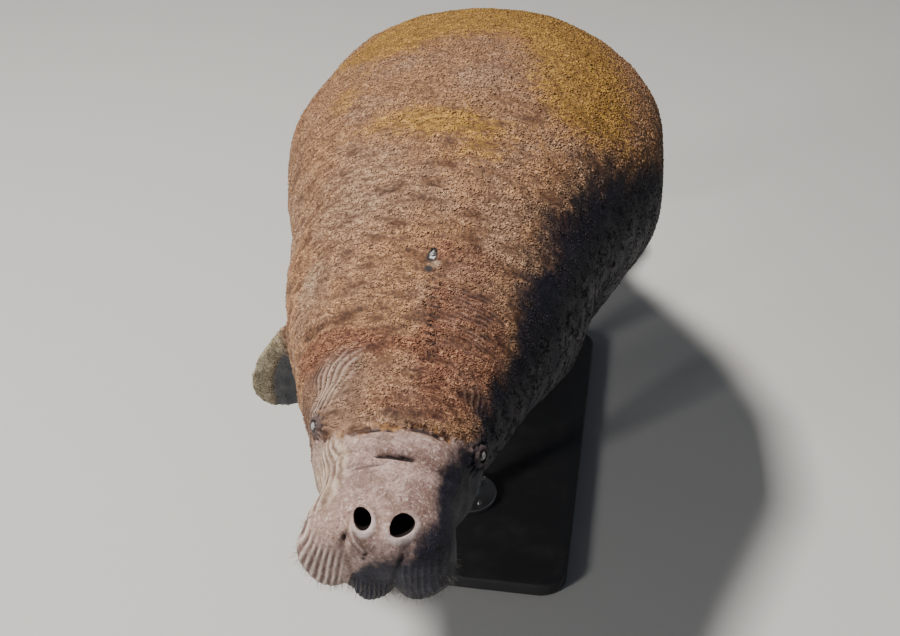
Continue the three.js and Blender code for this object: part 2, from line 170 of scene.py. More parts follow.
powder_coat = new_finish("powder_coat")
spot = node("TexCoord").outputs["Object"]
orange_peel = cloudy(spot, 900.0, 3.0)
scuffs = cloudy(spot, 14.0, 6.0, 0.7)
shader(
    Base_Color=layer(between(scuffs, 0.45, 0.75), (0.035, 0.036, 0.04), (0.06, 0.06, 0.063)),
    Roughness=between(scuffs, 0.3, 0.8, 0.38, 0.6),
    Normal=bump(0.25, 0.0004, orange_peel),
)
plate.data.materials.append(powder_coat)
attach(plate, "root")
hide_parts("stand_base")

# Stand rods. Two turned steel posts, each with a foot flange screwed to the base
# and a flare at the top that cups the belly. Their finish is a fine satin turning.
satin_steel = new_finish("satin_steel")
spot = node("TexCoord").outputs["Object"]
turning = cloudy(node("Mapping", Vector=spot, Scale=(3.0, 3.0, 900.0)).outputs[0], 1.0)
smears = cloudy(spot, 18.0, 4.0)
shader(
    Base_Color=layer(smears, (0.42, 0.43, 0.45), (0.55, 0.56, 0.57)),
    Metallic=1.0,
    Roughness=between(turning, 0.2, 0.8, 0.24, 0.38),
    Normal=bump(0.15, 0.0002, turning),
)

foot_radius, shaft_radius, cup_radius, screw_circle = 0.078, 0.025, 0.074, 0.057
foot_thick, cup_tall = 0.014, 0.060
cylinder = bpy.ops.mesh.primitive_cylinder_add
for end in ("front", "rear"):
    low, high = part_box("stand_rod_" + end)
    middle = (low + high) / 2
    rim = low.z + foot_thick
    foot_at = (middle.x, middle.y, low.z + foot_thick / 2)
    post = add("post_" + end, cylinder, foot_at, vertices=72, radius=foot_radius, depth=foot_thick)
    pick(post, faces=lambda f: f.normal.z > 0.9)
    # Fillet, shaft, and then the flare, ring by ring: radius, height over the foot.
    top = high.z - cup_tall - 0.03 - low.z - foot_thick
    rings = [(shaft_radius + 0.010, 0.0), (shaft_radius + 0.003, 0.004), (shaft_radius, 0.012)]
    rings += [(shaft_radius, top), (shaft_radius + 0.004, top + 0.022), (shaft_radius + 0.014, top + 0.040)]
    rings += [(cup_radius * 0.75, top + 0.056), (cup_radius, top + 0.070), (cup_radius, top + 0.088)]
    radius, height = foot_radius, 0.0
    for ring_radius, ring_height in rings:
        bpy.ops.mesh.extrude_region_move(TRANSFORM_OT_translate={"value": (0, 0, ring_height - height)})
        mesh = bmesh.from_edit_mesh(post.data)
        for v in mesh.verts:
            if v.select:
                v.co.x = middle.x + (v.co.x - middle.x) * ring_radius / radius
                v.co.y = middle.y + (v.co.y - middle.y) * ring_radius / radius
        bmesh.update_edit_mesh(post.data)
        radius, height = ring_radius, ring_height
    bpy.ops.mesh.select_all(action="SELECT")
    bpy.ops.mesh.remove_doubles(threshold=0.00005)
    bpy.ops.mesh.normals_make_consistent(inside=False)
    at_foot = lambda v: abs(math.hypot(v.co.x - middle.x, v.co.y - middle.y) - foot_radius) < 0.001
    on_rim = lambda e: all(at_foot(v) for v in e.verts) and abs(e.verts[0].co.z - rim) < 0.002
    pick(post, edges=lambda e: on_rim(e) and rise_of(e) < 0.001)
    bpy.ops.mesh.bevel(offset=0.003, segments=3, affect="EDGES")
    done_editing(post, 40)
    post.data.materials.append(satin_steel)
    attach(post, "root")
    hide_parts("stand_rod_" + end)
    # Four socket screws through the flange.
    screws = []
    for corner in range(4):
        turn = math.radians(45 + 90 * corner)
        at = (middle.x + screw_circle * math.cos(turn), middle.y + screw_circle * math.sin(turn), rim + 0.002)
        screw = add("screws_" + end, cylinder, at, vertices=24, radius=0.0065, depth=0.006)
        pick(screw, faces=lambda f: f.normal.z > 0.9)
        bpy.ops.mesh.inset(thickness=0.003)
        bpy.ops.mesh.extrude_region_move(TRANSFORM_OT_translate={"value": (0, 0, -0.0035)})
        pick(screw, edges=lambda e: all(v.co.z > rim + 0.0045 for v in e.verts))
        bpy.ops.mesh.bevel(offset=0.0006, segments=2, affect="EDGES")
        done_editing(screw)
        screw.data.materials.append(satin_steel)
        screws.append(screw)
    only(*screws)
    bpy.ops.object.join()
    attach(screws[0], "root")

# Hide. The whole animal in one skin, from the lips to the paddle's edge: thick grey
# hide with folds and wrinkles, pebbled over the back. It is laid out flat as one sheet,
# rolled round the body's own measures (mm along the spine, to the side, over the spine),
# and its swellings, folds, lips, nostrils and lids are then raised on it.
body_length, nose_cap, tail_cap = 2950, 62, 250
# Station along the spine, half the width, height over and under the spine, squareness.
sections = [
    (0, 116, 66, 92, 2.8), (62, 118, 76, 98, 2.6), (125, 109, 82, 106, 2.4), (185, 120, 92, 114, 2.3),
    (250, 144, 108, 126, 2.2), (340, 180, 135, 150, 2.15), (450, 220, 171, 186, 2.1),
    (600, 268, 213, 232, 2.1), (800, 316, 258, 284, 2.1), (1000, 380, 298, 322, 2.1),
    (1180, 421, 321, 342, 2.1), (1400, 414, 317, 336, 2.1), (1600, 374, 287, 300, 2.1),
    (1800, 306, 237, 242, 2.1), (2000, 242, 178, 178, 2.1), (2150, 204, 132, 128, 2.1),
    (2270, 199, 98, 92, 2.0), (2420, 252, 66, 60, 1.9), (2580, 318, 46, 42, 1.8), (2720, 334, 35, 31, 1.8),
    (2950, 318, 24, 22, 1.8),
]  # fmt: skip
# Station, climb and roll in degrees, sway to the side.
spine_bends = [
    (0, 24, 8, 2), (140, 8, 8, 8), (300, 0, 4, -8), (450, 3, 0, -15), (700, 5, 0, -12), (950, 4, 0, -6),
    (1200, -3, 0, 0), (1500, -14, 0, 0), (1800, -27, 0, 0), (2100, -37, 0, 0), (2400, -41, 0, 0),
    (2700, -38, 0, 0), (2950, -33, 0, 0),
]  # fmt: skip
# Middle (station, side, over), reach, height, whether it is on both sides.
swellings = [
    ((34, 98, -38), (40, 42, 44), 18, True), ((10, 70, -80), (38, 32, 32), 16, True),
    ((10, 0, -80), (34, 32, 38), 30, False), ((6, 40, -84), (36, 10, 34), -10, True),
    ((12, 0, 32), (14, 12, 13), -5, False), ((26, 0, 56), (26, 28, 24), 5, False),
    ((22, 47, 44), (20, 9, 22), -6, True), ((82, 0, 78), (40, 30, 26), 5, False),
    ((47, 32, 72), (28, 24, 26), 9, True), ((195, 124, -46), (64, 46, 44), 17, True),
    ((238, 136, 32), (36, 40, 34), 9, True), ((228, 78, 98), (40, 40, 34), 5, True),
    ((96, 0, -108), (40, 62, 30), 8, False), ((690, 262, -150), (120, 90, 100), 18, True),
    ((830, 300, -130), (60, 80, 90), -12, True),
]  # fmt: skip
# Folds across the head: station, depth, width, how far down the sides they reach.
folds = [(156, 7, 8, 0.55), (206, 5, 13, -0.4), (300, 6, 14, -0.7), (356, 6, 16, -0.9), (425, 5, 18, -0.9)]


def smooth_through(rows, column):
    """A smooth line through one column of a table, against its first."""
    x = np.array([row[0] for row in rows], float)
    y = np.array([row[column] for row in rows], float)
    slope = np.diff(y) / np.diff(x)
    before, after = np.concatenate([slope[:1], slope]), np.concatenate([slope, slope[-1:]])
    total = np.where(before + after == 0, 1, before + after)
    tangent = np.where(before * after <= 0, 0, 2 * before * after / total)

    def at(value):
        value = np.asarray(value, float)
        i = np.clip(np.searchsorted(x, value, side="right") - 1, 0, len(x) - 2)
        span = x[i + 1] - x[i]
        t = np.clip((value - x[i]) / span, 0, 1)
        return (
            y[i] * (1 + 2 * t) * (1 - t) ** 2
            + span * tangent[i] * t * (1 - t) ** 2
            + y[i + 1] * t * t * (3 - 2 * t)
            + span * tangent[i + 1] * t * t * (t - 1)
        )

    return at


half_at, rise_at, drop_at, square_at = (smooth_through(sections, k) for k in (1, 2, 3, 4))
climb_at, roll_at, sway_at = (smooth_through(spine_bends, k) for k in (1, 2, 3))
spine_s = np.arange(0, body_length + 5, 5.0)
steps = np.radians(climb_at(spine_s[:-1] + 2.5))
spine_y = np.concatenate([[0], np.cumsum(5 * np.cos(steps))])
spine_z = np.concatenate([[0], np.cumsum(5 * np.sin(steps))])


def place_of(s, side, up):
    """From body measures to a place, in mm from the tip of the nose."""
    s, side, up = np.broadcast_arrays(*(np.asarray(v, float) for v in (s, side, up)))
    climb, roll = np.radians(climb_at(s)), np.radians(roll_at(s))
    across = side * np.cos(roll) + up * np.sin(roll)
    over = up * np.cos(roll) - side * np.sin(roll)
    y = np.interp(s, spine_s, spine_y) - over * np.sin(climb)
    return np.stack([across + sway_at(s), y, np.interp(s, spine_s, spine_z) + over * np.cos(climb)], -1)


def reach_at(s, up):
    """How far the body reaches over its spine, or under it."""
    return np.where(up > 0, rise_at(s), drop_at(s))


def smooth_body(s, angle):
    """Side and height of the body without its swellings."""
    nose = np.clip(1 - s / nose_cap, 0, 1)
    tail = np.clip(1 - (body_length - s) / tail_cap, 0, 1)
    share = (1 - nose**2.7) ** (1 / 2.7)
    power = 2 / square_at(s)
    c, d = np.cos(angle), np.sin(angle)
    side = np.sign(c) * np.abs(c) ** power * half_at(s) * share * np.sqrt(1 - tail**2)
    tall = reach_at(s, d) * share * (1 - tail**2) ** 0.4
    return side, np.sign(d) * np.abs(d) ** power * tall


def unit(rows):
    return rows / np.maximum(np.linalg.norm(rows, axis=-1, keepdims=True), 1e-9)


def outward(s, angle):
    """The smooth body's outward direction."""
    before, after = np.maximum(s - 1, 0.01), np.minimum(s + 1, body_length - 0.01)
    along = place_of(after, *smooth_body(after, angle)) - place_of(before, *smooth_body(before, angle))
    turned = place_of(s, *smooth_body(s, angle + 0.01)) - place_of(s, *smooth_body(s, angle - 0.01))
    return unit(np.cross(along, turned))


def soft_step(value, low, high):
    t = np.clip((value - low) / (high - low), 0, 1)
    return t * t * (3 - 2 * t)


def within(value, start, full, fading, gone):
    """A soft window that opens from start to full and shuts from fading to gone."""
    return soft_step(value, start, full) * soft_step(-value, -gone, -fading)


def bell(value, middle, reach):
    return np.exp(-(((value - middle) / reach) ** 2))


def relief(s, side, up):
    """How far the swellings and folds stand out from the smooth body."""
    out = np.zeros(np.shape(s))
    for (at_s, at_side, at_up), (run, wide, tall), height, both in swellings:
        for hand in (1, -1) if both else (1,):
            out += height * bell(s, at_s, run) * bell(side, hand * at_side, wide) * bell(up, at_up, tall)
    for at_s, deep, wide, down in folds:
        out -= deep * soft_step(up / rise_at(s), down - 0.15, down + 0.25) * bell(s, at_s, wide)
    return out


def grain(places, size, seed=0):
    """Smooth noise from about -1 to 1, one value for each place."""
    shift = Vector((seed * 17.3, seed * 5.1, seed * 9.7))
    return np.array([noise.noise(Vector(p) / size + shift) for p in places])


# The nose's tip in the frame: across and along from the front post, up from the belly.
low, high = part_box("stand_rod_front")
post_y = float(place_of(1070, 0, 0)[1])
belly_s = 900 + 519.7 * np.arange(8) / 7
belly_side, belly_up = smooth_body(belly_s, np.full(8, math.pi / 2))
belly_top = place_of(belly_s, belly_side, belly_up)
belly_out = outward(belly_s, np.full(8, math.pi / 2)) * relief(belly_s, belly_side, belly_up)[:, None]
belly_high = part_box("belly")[1].z * 1000 - (belly_top + belly_out)[:, 2].max()
nose_tip = np.array([(low.x + high.x) / 2 * 1000, (low.y + high.y) / 2 * 1000 - post_y, belly_high])


def to_frame(places):
    return (np.asarray(places) + nose_tip) / 1000


# Rings of the sheet: even steps over the nose and the tail's edge, wider on the back.
t = np.linspace(0, 1, 6001)
cap_share = 1 - (1 - t) ** 3
cap_s = nose_cap * (1 - (1 - cap_share**2.7) ** (1 / 2.7))
cap_run = np.concatenate([[0], np.cumsum(np.hypot(np.diff(cap_s), 112 * np.diff(cap_share)))])
nose_rings = np.interp(np.linspace(0, cap_run[-1], 34), cap_run, cap_s)
trunk_rings, spacing = [float(nose_cap)], ([62, 300, 480, 900], [4.5, 4.75, 6.4, 17])
while trunk_rings[-1] < body_length - tail_cap:
    trunk_rings.append(trunk_rings[-1] + float(np.interp(trunk_rings[-1], *spacing)))
trunk_rings = np.interp(trunk_rings, [62, trunk_rings[-1]], [62, body_length - tail_cap])
turn = np.linspace(0, math.pi / 2, 6001)
edge_s = body_length - tail_cap + tail_cap * np.sin(turn)
edge_run = np.concatenate([[0], np.cumsum(np.hypot(np.diff(edge_s), 320 * np.diff(np.cos(turn))))])
tail_rings = np.interp(np.linspace(0, edge_run[-1], 38), edge_run, edge_s)
ring_s = np.concatenate([nose_rings[:-1], trunk_rings, tail_rings[1:]])
rows, around = len(ring_s) - 1, 150

hide = add("hide", bpy.ops.mesh.primitive_grid_add, x_subdivisions=around, y_subdivisions=rows, size=1)


def measures_of(flat):
    """Body measures of places on the flat sheet."""
    s = np.interp((flat[..., 1] + 0.5) * rows, np.arange(rows + 1), ring_s)
    angle = (flat[..., 0] + 0.5) * 2 * math.pi - math.pi / 2
    side, up = smooth_body(s, angle)
    return s, angle, side, up


def mouth_height(side):
    return -64 - 16 * np.minimum(1, (side / 110) ** 2) - 18 * bell(side, 0, 36)


# Smaller faces where the hide is worked finely: lips and mouth, nostrils, eyes, creases.
nostril_side, nostril_s, nostril_up = 31, 50, 74
eye_s, eye_height = 238, 34


def near_lips(s, side, up):
    return (s < 62) & (up < 50) & (up > -112)


def near_creases(s, side, up):
    top = (s > 122) & (s < 226) & (side > -112) & (side < 84) & (up > 0)
    cheek = (s > 60) & (s < 205) & (side < -84) & (up > -34) & (up < 62)
    return top | cheek


def near_eyes(s, side, up):
    lids = (s - eye_s) ** 2 + 1.2 * (up - eye_height) ** 2 < 46**2
    run = (up - eye_height) - 0.78 * (s - eye_s)
    behind = (s > 238) & (s < 350) & (np.abs(run + 2) < 32) & (np.abs(side) > 66) & (up > 0)
    return (lids & (np.abs(side) > 100)) | behind


def near_nostrils(reach):
    def test(s, side, up):
        far = (s - nostril_s) ** 2 + (np.abs(side) - nostril_side) ** 2 + 0.3 * (up - nostril_up) ** 2
        return (far < reach**2) & (up > 20)

    return test


def near_lids(s, side, up):
    return ((s - eye_s) ** 2 + (up - eye_height) ** 2 < 24**2) & (np.abs(side) > 100)


def near_mouth(s, side, up):
    return (s < 125) & (np.abs(up - mouth_height(side)) < 26)


def near_mouth_line(s, side, up):
    return (s < 125) & (np.abs(up - mouth_height(side)) < 14) & (np.abs(side) < 150)


for test in (
    lambda *m: near_lips(*m) | near_creases(*m) | near_eyes(*m) | near_nostrils(42)(*m) | near_mouth(*m),
    lambda *m: near_nostrils(32)(*m) | near_lids(*m) | near_mouth_line(*m),
    near_nostrils(23),
):
    only(hide)
    bpy.ops.object.mode_set(mode="EDIT")
    bpy.ops.mesh.select_mode(type="FACE")
    bpy.ops.mesh.select_all(action="DESELECT")
    sheet = bmesh.from_edit_mesh(hide.data)
    sheet.faces.ensure_lookup_table()
    middles = np.array([f.calc_center_median() for f in sheet.faces])
    s, angle, side, up = measures_of(middles)
    for i in np.nonzero(test(s, side, up))[0]:
        sheet.faces[i].select_set(True)
    bmesh.update_edit_mesh(hide.data)
    bpy.ops.mesh.subdivide(number_cuts=1)
    bpy.ops.object.mode_set(mode="OBJECT")


def rows_of(items, what, wide=3, kind=float):
    """Numbers out of a mesh, a row for each of its vertices, edges or triangles."""
    values = np.empty(len(items) * wide, kind)
    items.foreach_get(what, values)
    return values.reshape(-1, wide)


flat = rows_of(hide.data.vertices, "co")
s, angle, side, up = measures_of(flat)
places = place_of(s, side, up)
normal = outward(s, angle)
out = relief(s, side, up)

# Worn folds and wrinkles. First the crease over the snout, a slit with a finer one before it.
fine = np.zeros(len(s))
over_skin = up > 0
fine -= 7.0 * bell(s - 0.1 * side, 155, 3.4) * soft_step(-np.abs(side + 3), -41, -16) * over_skin
fine -= 2.0 * bell(s - 0.25 * (side + 40), 131, 2.6) * soft_step(-np.abs(side + 42), -34, -14) * over_skin
out += 2.6 * bell(s - 0.1 * side, 166, 6) * soft_step(-np.abs(side + 5), -62, -30) * over_skin
arc_line = ([-135, -124, -80, -21, 17, 68, 110, 130], [220, 204, 187, 199, 209, 210, 222, 240])
arc = s - np.interp(side, *arc_line)
arc_reach = soft_step(-np.abs(side + 8), -128, -84) * over_skin
out -= 3.6 * bell(arc, 1, 7.5) * arc_reach
fine -= 2.4 * np.clip(grain(places, 15, 21) * 2.2 + 0.35, 0, 1) * bell(arc, 1, 4.5) * arc_reach
out += 3.0 * bell(arc, -15, 9) * arc_reach
fine -= 1.5 * bell(s - 0.3 * (side + 40), 140, 2.4) * soft_step(-np.abs(side + 66), -24, -10) * over_skin
# Upright wrinkles on the lip pads and the middle lobe.
warp = 5 * grain(places, 38, 1)
pads = soft_step(-s, -78, -50) * soft_step(np.abs(side), 38, 50) * soft_step(-up, -52, -22)
pads = pads * soft_step(up, -112, -92)
pads = pads * np.where(side < 0, 1.0, 0.4) * np.clip(0.85 + 0.9 * grain(places, 16, 29), 0.25, 1)
phase = (side + 0.07 * np.sign(side) * up + 0.6 * warp) / 9.6
fine += 1.0 * pads * np.sin(phase * 2 * math.pi)
out += 9.0 * bell(s, 14, 34) * bell(np.abs(side), 102, 30) * bell(up, -84, 26)
lobe = soft_step(-s, -45, -25) * soft_step(-np.abs(side), -36, -26) * soft_step(-up, 20, 45)
lobe = lobe * np.clip(0.8 + 0.9 * grain(places, 13, 37), 0.2, 1)
lobe_phase = (side + warp * 0.8) / 7.4
fine += 1.1 * lobe * np.sin(lobe_phase * 2 * math.pi)


def along_line(corners, aside=np.abs(side)):
    """Distance from a line of corners (side, height), seen from the front of the face."""
    far = np.full(len(s), 999.0)
    for a, b in zip(corners, corners[1:]):
        a, b = np.array(a, float), np.array(b, float)
        here = np.stack([aside, up], -1)
        share = np.clip(((here - a) @ (b - a)) / ((b - a) @ (b - a)), 0, 1)
        far = np.minimum(far, np.linalg.norm(here - a - share[:, None] * (b - a), axis=1))
    return far


# Ridges from under each nostril to the notch between the lips, each with a groove outside.
in_front = soft_step(-s, -48, -38)
left_ridge, right_ridge = [(38, 60), (12, 50)], [(-42, 68), (-32, 60), (-15, 49)]
for hand, corners, amount in ((-1, right_ridge, 1.0), (1, left_ridge, 0.3)):
    from_ridge = along_line(corners, side)
    outer = (hand * side > 4) * (up < 66)
    fine += amount * 1.7 * in_front * bell(from_ridge, 0, 2.2)
    fine -= amount * 1.2 * in_front * bell(from_ridge, 5.0, 2.6) * outer
fine -= 2.6 * in_front * (bell(side, -12, 3.6) * bell(up, 46, 3.6) + bell(side, -14, 3.4) * bell(up, 37, 3.0))
fine -= 3.4 * bell(s, 26, 6) * (bell(side, -49, 3.4) + 0.4 * bell(side, 47, 3.4)) * bell(up, 58, 6)
# The cleft between each lip pad and the middle of the face.
for cleft in ([(-47, 58), (-36, 30), (-28, 0), (-26, -90)], [(46, 50), (41, 20), (37, -25), (40, -90)]):
    out -= 3.8 * in_front * bell(along_line(cleft, side), 0, 5.0)
out += 5.0 * bell(s, 6, 30) * bell(side, -46, 16) * bell(up, -52, 40)
out += 2.0 * in_front * bell(along_line([(58, 45), (60, 0), (62, -60)]), 0, 13)
# Long creases down the cheek, from the eye to the lip pad.
cheek = within(s, 52, 74, 178, 212) * soft_step(-side, 58, 78) * bell(up, 32, 42)
cheek_phase = (up + 0.12 * (s - 120) + 7 * grain(places, 42, 22) + 3 * grain(places, 15, 23)) / 13
cheek = cheek * (0.75 + 0.8 * grain(places, 24, 24))
fine += 1.1 * cheek * np.sin(cheek_phase * 2 * math.pi)
# Wrinkles that run back and up from each eye over the temple.
temple_run = (up - eye_height) - 0.78 * (s - eye_s)
temple = within(s, 236, 262, 325, 385) * bell(temple_run, -4, 27) * soft_step(np.abs(side), 62, 84)
temple = temple * over_skin * np.where(side < 0, 1.0, 0.3)
temple_phase = (temple_run + 4 * grain(places, 45, 2) + 0.8 * grain(places, 18, 35)) / 9.2
fine += 1.8 * temple * np.sin(temple_phase * 2 * math.pi)
# Curved wrinkles down the left of the nape.
nape = within(s, 350, 390, 470, 560) * soft_step(side, 55, 80) * soft_step(-side, -190, -140) * over_skin
nape_phase = (s + 0.04 * (side - 80) + 5 * grain(places, 50, 25) + 2.5 * grain(places, 15, 36)) / 9
nape = nape * (0.55 + 0.9 * grain(places, 30, 26))
phase = np.where(lobe > 0.02, lobe_phase, phase)
for mask, its_phase in ((nape, nape_phase), (temple, temple_phase), (cheek, cheek_phase)):
    phase = np.where(mask > 0.02, its_phase, phase)
lines_mask = np.clip(np.maximum.reduce([pads, 0.8 * lobe, 0.65 * cheek, 1.05 * temple, 0.45 * nape]), 0, 1)
# Short creases across the neck and shoulders, broken and uneven.
neck = within(s, 285, 350, 600, 1000)
across_neck = grain(np.stack([side * 0.2, s, up * 0.2], -1), 17, 3)
out += 2.6 * neck * across_neck
flank = within(s, 430, 560, 1700, 2200) * soft_step(-up, -160, 60)
out += 4.0 * flank * grain(np.stack([side * 0.25, s + 0.25 * up, up * 0.25], -1), 44, 15)
# Knobs on the crown, lumps over the trunk.
crown = within(s, 325, 360, 470, 560) * bell(side, 30, 45) * over_skin
out += 5.0 * crown * np.clip(grain(places, 17, 4) * 1.6, -0.25, 1)
row = within(s, 330, 365, 480, 540) * bell(side, 48 - 0.06 * (s - 340), 11) * over_skin
fine += 4.2 * row * np.sin((s + 5 * grain(places, 40, 27)) * 2 * math.pi / 19)
trunk = soft_step(s, 330, 520) * (0.25 + 0.75 * soft_step(-s, -2700, -2300)) * soft_step(-s, -2945, -2850)
out += trunk * (6.0 * grain(places, 210, 5) + 2.6 * grain(places, 75, 6) + 1.1 * grain(places, 34, 7))
head = soft_step(-s, -420, -330)
out += head * (1.5 * grain(places, 26, 8) + 0.6 * grain(places, 10, 9))
# An old scar beside the spine.
for at_s, at_side, size, depth in ((560, 22, 9, 4), (545, 12, 7, 4), (575, 30, 6, -3), (534, 20, 6, 3)):
    out -= depth * bell(s, at_s, size) * bell(side, at_side, size) * over_skin
# A lobe beside the nostril on the right.
out += 2.6 * bell(s, 62, 11) * bell(side, -45, 9) * over_skin
# The scar's knob, and a rough patch on the right shoulder.
out += 4.0 * bell(s, 541, 8) * bell(side, 33, 9) * over_skin
out += 3.0 * bell(s, 560, 40) * bell(side, -205, 26) * grain(places, 13, 28)
out += fine
# The wrinkle measure colours the hide later: painted shade in folds and slits, painted highlight on raised
# wrinkles.
wrinkle_mask = 0.5 + 0.5 * np.clip(fine / 2.2, -1, 1)

places = places + normal * out[:, None]


def opening_at(s, angle):
    """The middle of an opening in the hide, the way out of the skin and the way to the nose."""
    s, angle = np.array([float(s)]), np.array([angle])
    side, up = smooth_body(s, angle)
    outside = outward(s, angle)[0]
    middle = place_of(s, side, up)[0] + outside * relief(s, side, up)[0]
    ahead = place_of(s[0] - 5, side[0], up[0]) - place_of(s[0] + 5, side[0], up[0])
    ahead -= outside * (ahead @ outside)
    return middle, outside, ahead / np.linalg.norm(ahead)


# Nostrils: a thick rim, and inside it a passage that slants back under the skin.
rim_highlight, passage_shade, lid_mask = np.zeros((3, len(s)))
for hand, at_s, at_side, wide, long, tilt in ((1, 48, 34, 16.2, 23.0, -26), (-1, 47, 27, 14.0, 18.4, -28)):
    share = hand * at_side / half_at(at_s)
    angle = math.acos(np.sign(share) * abs(share) ** (float(square_at(at_s)) / 2))
    centre, outside, ahead = opening_at(at_s, angle)
    inward = place_of(at_s + 30, hand * (at_side - 4), nostril_up - 40) - centre
    inward /= np.linalg.norm(inward)
    lean = hand * math.radians(tilt)
    aside = np.cross(ahead, outside)
    across = aside * math.cos(lean) + ahead * math.sin(lean)
    ahead = ahead * math.cos(lean) - aside * math.sin(lean)
    off = places - centre
    a, b, lift = off @ across, off @ ahead, off @ outside
    close = (np.abs(lift) < 30) & (np.hypot(a, b) < 60)
    around_it = np.arctan2(b / long, a / wide)
    uneven = 1 + 0.05 * np.sin(2 * around_it + hand) + 0.04 * np.sin(3 * around_it + 1 + 2 * hand)
    r = np.where(close, np.hypot(a / wide, b / long) / uneven, 9)
    facing = np.arctan2(off[:, 1], off[:, 0])
    low_side = 0.5 + 0.5 * np.cos(facing + 0.9)
    swell = (1.3 + 1.2 * low_side) * bell(r, 1.3, 0.42)
    # The pale crescent, stronger and wider on one side of each rim, is a painted highlight.
    crescent = bell(r, 1.2, 0.16 + 0.26 * low_side) * close * (0.2 + 0.8 * low_side)
    rim_highlight = np.maximum(rim_highlight, crescent)
    inside = close & (r < 1)
    down = np.clip((1 - r) / 0.6, 0, 1)
    tube = np.where(r > 0.4, 1 - 0.22 * down**1.5, 0.78 * r / 0.4)
    scale = np.where(inside, tube / np.maximum(r, 1e-6), 1)
    deep = np.where(inside, 32 * down, 0)
    # The passage's inside is marked to be painted near-black, as painted shade.
    passage_shade = np.maximum(passage_shade, np.where(inside, soft_step(down, 0.03, 0.25), 0))
    shallow = np.where(inside, 1 - down, 1)
    moved = centre + (a * scale)[:, None] * across + (b * scale)[:, None] * ahead
    moved = moved + (lift * shallow + swell * shallow)[:, None] * outside + deep[:, None] * inward
    places = np.where(close[:, None], moved, places)

# Lids: a puckered ring round each eye that lies on the ball, with creases round it.
eye_places = {}
eye_angle = math.asin((eye_height / float(rise_at(eye_s))) ** (float(square_at(eye_s)) / 2))
for hand in (1, -1):
    centre, outside, ahead = opening_at(eye_s, eye_angle if hand > 0 else math.pi - eye_angle)
    over = np.cross(outside, ahead)
    over *= np.sign(over[2])
    eye_places[hand] = (centre, outside, ahead, over)
    off = places - centre
    a, b, lift = off @ ahead, off @ over, off @ outside
    close = (np.abs(lift) < 35) & (np.hypot(a, b) < 80)
    r = np.where(close, np.hypot(a / 12.2, b / 10.2), 30)
    round_eye = np.arctan2(b, a)
    r = r * (1 + 0.06 * np.sin(3 * round_eye + 1) + 0.04 * np.sin(7 * round_eye))
    pucker = 1.3 * bell(r, 2.4, 0.9) * np.sin(round_eye * 12 + 2 * np.sin(2 * round_eye))
    ridge = 3.6 * bell(r, 1.3, 0.45) + 0.8 * bell(r, 2.4, 0.5)
    groove = -2.2 * bell(r, 1.85, 0.3)
    brow_fold = -2.0 * bell(np.hypot(a / 26, (b + 2) / 17), 1, 0.12) * (b > 3)
    # The lids' folds feed the same measure: painted shade in grooves, painted highlight on ridges.
    folded = np.clip(0.5 + (groove + brow_fold + pucker + 0.5 * (ridge - 1)) / 5, 0, 1)
    here = np.exp(-((r / 3.2) ** 4)) * close
    wrinkle_mask = folded * here + wrinkle_mask * (1 - here)
    lid_mask = np.maximum(lid_mask, bell(r, 1.2, 0.6) * close)
    inside = close & (r < 1)
    deep = np.where(inside, 11 * np.clip((1 - r) / 0.3, 0, 1), 0)
    keep = np.where(inside, np.clip(1 - (1 - r) / 0.3, 0, 1), 1)
    moved = (lift * keep + (ridge + groove + pucker + brow_fold) * keep - deep)[:, None] * outside
    moved = centre + a[:, None] * ahead + b[:, None] * over + moved
    places = np.where(close[:, None], moved, places)

# Mouth: under its line the jaw is narrower and set back, behind a groove.
frame_side = place_of(s, 1, 0) - place_of(s, 0, 0)
frame_up = place_of(s, 0, 1) - place_of(s, 0, 0)
off = places - place_of(s, 0, 0)
true_side, true_up = (off * frame_side).sum(1), (off * frame_up).sum(1)
line = mouth_height(true_side)
front = soft_step(-s, -146, -95)
below = soft_step(line - true_up, -1.5, 2.5) * front
places[:, 0] -= below * 0.12 * places[:, 0]
places[:, 1] += below * 16
groove = bell(true_up - line, -3.5, 3.5) * soft_step(-s, -140, -110)
places -= normal * (7 * groove)[:, None]
# The groove and the jaw just under the lip are marked to be painted dark, as painted shade.
mouth_shade = np.maximum(groove, below * soft_step(-np.abs(true_up - line), -16, -2))

places = to_frame(places)
for axis in (0, 1, 2):
    # The fine relief never carries the hide past the overall size.
    for sign, limit in ((1, cad_high[axis]), (-1, -cad_low[axis])):
        past = sign * places[:, axis] - (limit - 0.011)
        places[:, axis] += sign * np.where(past > 0, 0.009 * np.tanh(past / 0.009) - past, 0)
hide.data.vertices.foreach_set("co", places.ravel())
measures = {"s": s, "side": true_side, "up": true_up, "rim": rim_highlight, "passage": passage_shade}
measures.update(lid=lid_mask, mouth=mouth_shade, wrinkle=wrinkle_mask)
measures.update(flat_x=flat[:, 0] + 0.5, flat_y=flat[:, 1] * 0.89 + 0.55)
measures.update(limb=np.zeros(len(s)), phase=phase, lines=lines_mask)


def write(mesh, name, values):
    mesh.attributes.new(name, "FLOAT", "POINT").data.foreach_set("value", values)


def close_up(thing, mend=bpy.ops.mesh.remove_doubles, reach=0.00004):
    """Close a skin's seams, turn its faces outwards and shade it smooth."""
    only(thing)
    bpy.ops.object.mode_set(mode="EDIT")
    bpy.ops.mesh.select_all(action="SELECT")
    mend(threshold=reach)
    bpy.ops.mesh.normals_make_consistent(inside=False)
    bpy.ops.object.mode_set(mode="OBJECT")
    bpy.ops.object.shade_smooth()


for name, values in measures.items():
    write(hide.data, name, values)
close_up(hide)

